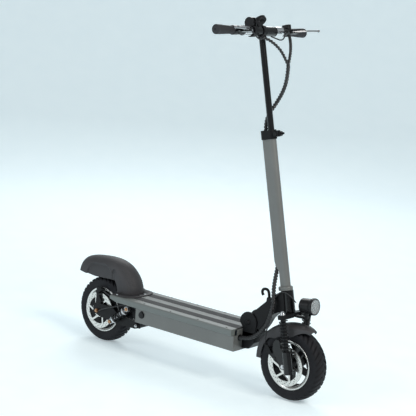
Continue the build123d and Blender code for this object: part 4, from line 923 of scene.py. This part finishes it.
# %% Socket-head screws in Geometry Nodes
def screw_tree():
    tree = bpy.data.node_groups.new("socket screws", "GeometryNodeTree")
    tree.interface.new_socket("Points", in_out="INPUT", socket_type="NodeSocketGeometry")
    for label in ("Head Radius", "Head Height"):
        tree.interface.new_socket(label, in_out="INPUT", socket_type="NodeSocketFloat")
    tree.interface.new_socket("Turn", in_out="INPUT", socket_type="NodeSocketVector")
    tree.interface.new_socket("Finish", in_out="INPUT", socket_type="NodeSocketMaterial")
    tree.interface.new_socket("Geometry", in_out="OUTPUT", socket_type="NodeSocketGeometry")
    given = add(tree, "NodeGroupInput").outputs
    head = add(tree, "GeometryNodeMeshCylinder", {"Vertices": 20},
               {"Radius": given["Head Radius"], "Depth": given["Head Height"]})
    half = add(tree, "ShaderNodeMath", {"operation": "MULTIPLY"}, {0: given["Head Radius"]})
    half.inputs[1].default_value = 0.5
    socket = add(tree, "GeometryNodeMeshCylinder", {"Vertices": 6},
                 {"Radius": half.outputs[0], "Depth": given["Head Height"]})
    lift = add(tree, "GeometryNodeTransform", {"Translation": (0, 0, 0.0009)},
               {"Geometry": socket.outputs["Mesh"]})
    cut = add(tree, "GeometryNodeMeshBoolean", {"operation": "DIFFERENCE"},
              {"Mesh 1": head.outputs["Mesh"], "Mesh 2": lift.outputs["Geometry"]})
    placed = add(tree, "GeometryNodeInstanceOnPoints", links={"Points": given["Points"],
                 "Instance": cut.outputs["Mesh"], "Rotation": given["Turn"]})
    real = add(tree, "GeometryNodeRealizeInstances", links={"Geometry": placed.outputs["Instances"]})
    shaded = add(tree, "GeometryNodeSetMaterial", links={"Geometry": real.outputs["Geometry"],
                                                         "Material": given["Finish"]})
    add(tree, "NodeGroupOutput", links={"Geometry": shaded.outputs["Geometry"]})
    return tree


screws = screw_tree()


def screw_set(name, places, radius, height, turn, finish, body):
    """Screws at a list of places, all turned the same way."""
    values = {"Head Radius": radius * MM, "Head Height": height * MM, "Turn": turn, "Finish": finish}
    made = from_nodes(name, screws, values, places, smooth=False)
    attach(made, body)
    return made


SIDEWAYS = (pi / 2, 0.0, 0.0)
UPWARDS = (0.0, 0.0, 0.0)
for side, word in ((-1, "right"), (1, "left")):
    motor_bolts = [rear + Vector((52 * cos(pi / 4 * i), side * 24.5, 52 * sin(pi / 4 * i))) * MM
                   for i in range(8)]
    screw_set(f"motor_cover_screws_{word}", motor_bolts, 3.2, 3.0, (-side * pi / 2, 0.0, 0.0), zinc_steel,
              "rear_wheel")
for centre, name, body in ((front, "front", "front_wheel"), (rear, "rear", "rear_wheel")):
    places = [centre + Vector((19 * cos(a), -47.6, 19 * sin(a))) * MM
              for a in [radians(30 + 60 * i) for i in range(6)]]
    screw_set(f"{name}_disc_screws", places, 3.6, 2.4, SIDEWAYS, black_anodised, body)
deck_places = [from_rear(x, side * 78, 211.6) for side in (-1, 1) for x in (261, 391, 522, 654)]
deck_set = screw_set("deck_screws", deck_places, 4.4, 2.2, UPWARDS, black_anodised, "frame")
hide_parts("fasteners")
guard_places = [from_rear(x, y, 218.4) for x, y in ((118, -74), (118, 74), (180, -13), (180, 13))]
guard_set = screw_set("mudguard_screws", guard_places, 4.6, 2.8, UPWARDS, zinc_steel,
                      "frame")
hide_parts("fasteners")

# %% [markdown]
# ## Pivot bolts
# The bolts at the fold, the swing arm and the shocks have round domed heads on flat washers. One
# function spins the washer and the dome, and each bolt is set on the outer face of its own joint.

# %% Pivot bolts
def bolt_head(name, place, side, radius, finish, body, replaced=None):
    """A washer with a domed head, facing out to the side."""
    profile = [(0.0, 0.0), (radius * 1.25, 0.0), (radius * 1.25, 1.2), (radius, 1.4),
               (radius * 0.96, 3.6), (radius * 0.72, 5.0), (radius * 0.35, 5.6), (0.0, 5.7)]
    made = spun(name, [(r, side * y) for r, y in profile], place, finish, steps=48)
    if replaced:
        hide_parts(replaced)
    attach(made, body)


for side, word in ((-1, "right"), (1, "left")):
    bolt_head(f"fold_bolt_{word}", from_rear(712, side * 32.0, 238), side, 8.0, black_coat,
              "frame", "fasteners")
    bolt_head(f"swing_bolt_{word}", from_rear(206, side * 58.0, 112), side, 5.0, zinc_steel,
              "frame", "fasteners")
    bolt_head(f"shock_top_bolt_{word}", from_rear(171, side * 78.0, 172), side, 6.5, copper_steel,
              "frame", "fasteners")
    bolt_head(f"shock_low_bolt_{word}", from_rear(92, side * 83.0, 107), side, 6.0, copper_steel,
              "swing")
bolt_head("stand_bolt", from_rear(600, 99.0, 150), 1, 6.0, zinc_steel, "frame",
          "fasteners")

# %% [markdown]
# ## Fold hinge and neck arm
# The casting on the box carries two round cheeks. The arm's side plates stop short of them on a
# circle round the same pin, so that the column can fold, and a narrower web runs in between to the
# pin. Each plate is an outline with its edges rounded.

# %% Fold hinge and neck arm
FOLD = (712.0, 238.0)
CHEEK_RADIUS = 37.0


def arc(centre, radius, first, last, count=30):
    """Points on a circle, from one angle to another, in degrees."""
    turns = [radians(first + (last - first) * i / (count - 1)) for i in range(count)]
    return [(centre[0] + radius * cos(t), centre[1] + radius * sin(t)) for t in turns]


def plate(name, outline, y_low, y_high, bevel, node, body):
    """A flat plate across Y from an outline of (x, z), with rounded edges."""
    count = len(outline)
    points = [from_rear(x, y, z) for y in (y_low, y_high) for x, z in outline]
    faces = [list(range(count)), list(range(count, 2 * count))]
    faces += [[i, (i + 1) % count, count + (i + 1) % count, count + i] for i in range(count)]
    made = piece_from(name, points, faces, black_coat, False)
    rounding = made.modifiers.new("edges", "BEVEL")
    rounding.width = bevel * MM
    rounding.segments = 3
    rounding.limit_method = "ANGLE"
    rounding.angle_limit = radians(40)
    plain(made)
    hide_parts(node)
    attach(made, body)


casting = [(690, 138), (722, 143), (742, 168), (750, 206), (690, 206)]
plate("fold_casting", casting, -32, 32, 4.0, "hinge_base", "frame")
for low, high, word in ((-32.0, -24.2, "right"), (24.2, 32.0, "left")):
    cheek = arc(FOLD, CHEEK_RADIUS, -8, 188) + [(690, 214), (690, 170), (744, 190)]
    plate(f"fold_cheek_{word}", cheek, low, high, 2.5, "hinge_base", "frame")
arm_sides = arc(FOLD, CHEEK_RADIUS + 1.2, 66, -22) + [
    (760, 218), (772, 236), (786, 262), (809, 286), (834, 299), (860, 306), (848, 374), (838, 375),
    (808, 354), (738, 289)]
plate("neck_arm_sides", arm_sides, -28, 28, 3.0, "neck_arm", "neck")
web = arc(FOLD, 22, 130, 290) + [(762, 226), (764, 262), (738, 284)]
plate("neck_arm_web", web, -23.6, 23.6, 1.5, "neck_arm", "neck")
for low, high, word in ((-8.0, -4.3, "right"), (4.3, 8.0, "left")):
    plate(f"hook_ear_{word}", [(764, 308), (788, 324), (780, 336), (767, 336)], low, high, 0.8,
          "neck_arm", "neck")

# %% [markdown]
# ## Cap nuts on the fork legs
# A polished cap nut closes each fork leg above the crown. Its foot is a wide flange.

# %% Fork cap nuts
def cap_nut(side, word):
    """A domed nut along the steering axis, on top of one fork leg."""
    base = on_column(LEG_AHEAD, side * LEG_SIDE, 309.3)
    profile = [(0.0, 0.0), (10.5, 0.0), (10.5, 1.6), (8.6, 1.8), (8.6, 7.0), (7.6, 8.2), (6.4, 8.8),
               (5.8, 11.5), (4.0, 13.8), (1.8, 14.8), (0.0, 15.0)]
    made = lathe(f"fork_cap_nut_{word}", profile, base, (ahead, Y_AXIS, up), chrome, 48,
                 closed_columns=False)
    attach(made, "steering")


cap_nut(-1, "right")
cap_nut(1, "left")

# %% [markdown]
# ## Release hook
# The hook is bent from a round bar. It curls back over the deck, so that a finger can pull it.

# %% Release hook
hook_points = [from_rear(772, 0, 330), from_rear(771, 0, 350), from_rear(763, 0, 363),
               from_rear(744, 0, 362), from_rear(738, 0, 348), from_rear(746, 0, 339)]
hook, hook_line, hook_length = cable_piece("hook_bar", hook_points, 0.0050, black_coat)
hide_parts("hook_lever")
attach(hook, "hook")
hook_hub = spun("hook_hub", [(2.7, -4.0), (7.0, -4.0), (7.0, 4.0), (2.7, 4.0)],
                from_rear(772, 0, 330), black_coat, steps=40)
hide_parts("hook_lever")
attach(hook_hub, "hook")
print("hook length", round(hook_length, 4))

# %% [markdown]
# ## Studio
# The scooter stands on a pale seamless floor that curves up behind it. A large soft light from the
# right gives the paint its broad highlight and throws a faint cool shadow to the left. The camera
# looks from the front right with a long lens, and is rolled a few degrees, as a hand-held one would be.

# %% Floor
def seamless():
    """A floor that runs level under the scooter and curves up behind it."""
    rows = []
    for k in range(60):
        t = k / 59
        if t < 0.5:
            y, z = -7.0 + 22.0 * t, -0.0005
        else:
            a = (t - 0.5) / 0.5 * pi / 2
            y, z = 4.0 + 5.0 * sin(a), 5.0 * (1 - cos(a)) - 0.0005
        rows.append([Vector((x, y, z)) for x in (-14.0, -4.0, 4.0, 14.0)])
    turn = Matrix.Rotation(radians(39.0), 4, "Z")
    rows = [[turn @ p for p in row] for row in rows]
    paper = grained("seamless paper, pale blue", "#E3F0F4", "#E8F4F7", 0.85, 3.0, 0.02)
    glow = paper.node_tree.nodes["Principled BSDF"]
    glow.inputs["Emission Color"].default_value = linear("#E4F1F6")
    glow.inputs["Emission Strength"].default_value = 0.34
    grid_piece("studio_floor", rows, paper)


seamless()

# %% [markdown]
# ## Lights and camera
# Soft rectangular lights stand round the scooter, and one camera looks at it.

# %% Lights and camera
def area_light(name, place, target, size, power, hex_colour):
    """A soft rectangular light that faces its target."""
    lamp = bpy.data.lights.new(name, "AREA")
    lamp.shape = "RECTANGLE"
    lamp.size, lamp.size_y = size
    lamp.energy = power
    lamp.color = linear(hex_colour)[:3]
    holder = bpy.data.objects.new(name, lamp)
    bpy.context.scene.collection.objects.link(holder)
    holder.location = place
    holder.rotation_euler = (Vector(target) - Vector(place)).to_track_quat("-Z", "Y").to_euler()


area_light("key light", (3.6, -0.6, 3.4), (0, 0, 0.4), (1.4, 1.4), 105, "#FFF9F2")
area_light("fill light", (-1.5, -4.5, 2.6), (0, 0, 0.5), (2.4, 2.0), 62, "#F4F8FC")
area_light("rim light", (-2.5, 3.0, 3.2), (0, 0, 0.7), (2.0, 2.0), 62, "#FFFFFF")
world = bpy.data.worlds.new("studio")
world.use_nodes = True
world.node_tree.nodes["Background"].inputs["Color"].default_value = linear("#EAF4F8")
world.node_tree.nodes["Background"].inputs["Strength"].default_value = 0.42
bpy.context.scene.world = world
bpy.context.scene.view_settings.view_transform = "Standard"

CAMERA_PLACE = Vector((2.6518, -3.2386, 1.3200))
CAMERA_TARGET = Vector((-0.0574, 0.1078, 0.5792))
CAMERA_ROLL = radians(4.06)
camera = bpy.data.objects.new("camera", bpy.data.cameras.new("camera"))
camera.data.sensor_width = 36.0
camera.data.lens = 101.5
bpy.context.scene.collection.objects.link(camera)
level = (CAMERA_TARGET - CAMERA_PLACE).to_track_quat("-Z", "Y").to_matrix().to_4x4()
camera.matrix_world = Matrix.Translation(CAMERA_PLACE) @ level @ Matrix.Rotation(CAMERA_ROLL, 4, "Z")
bpy.context.scene.camera = camera
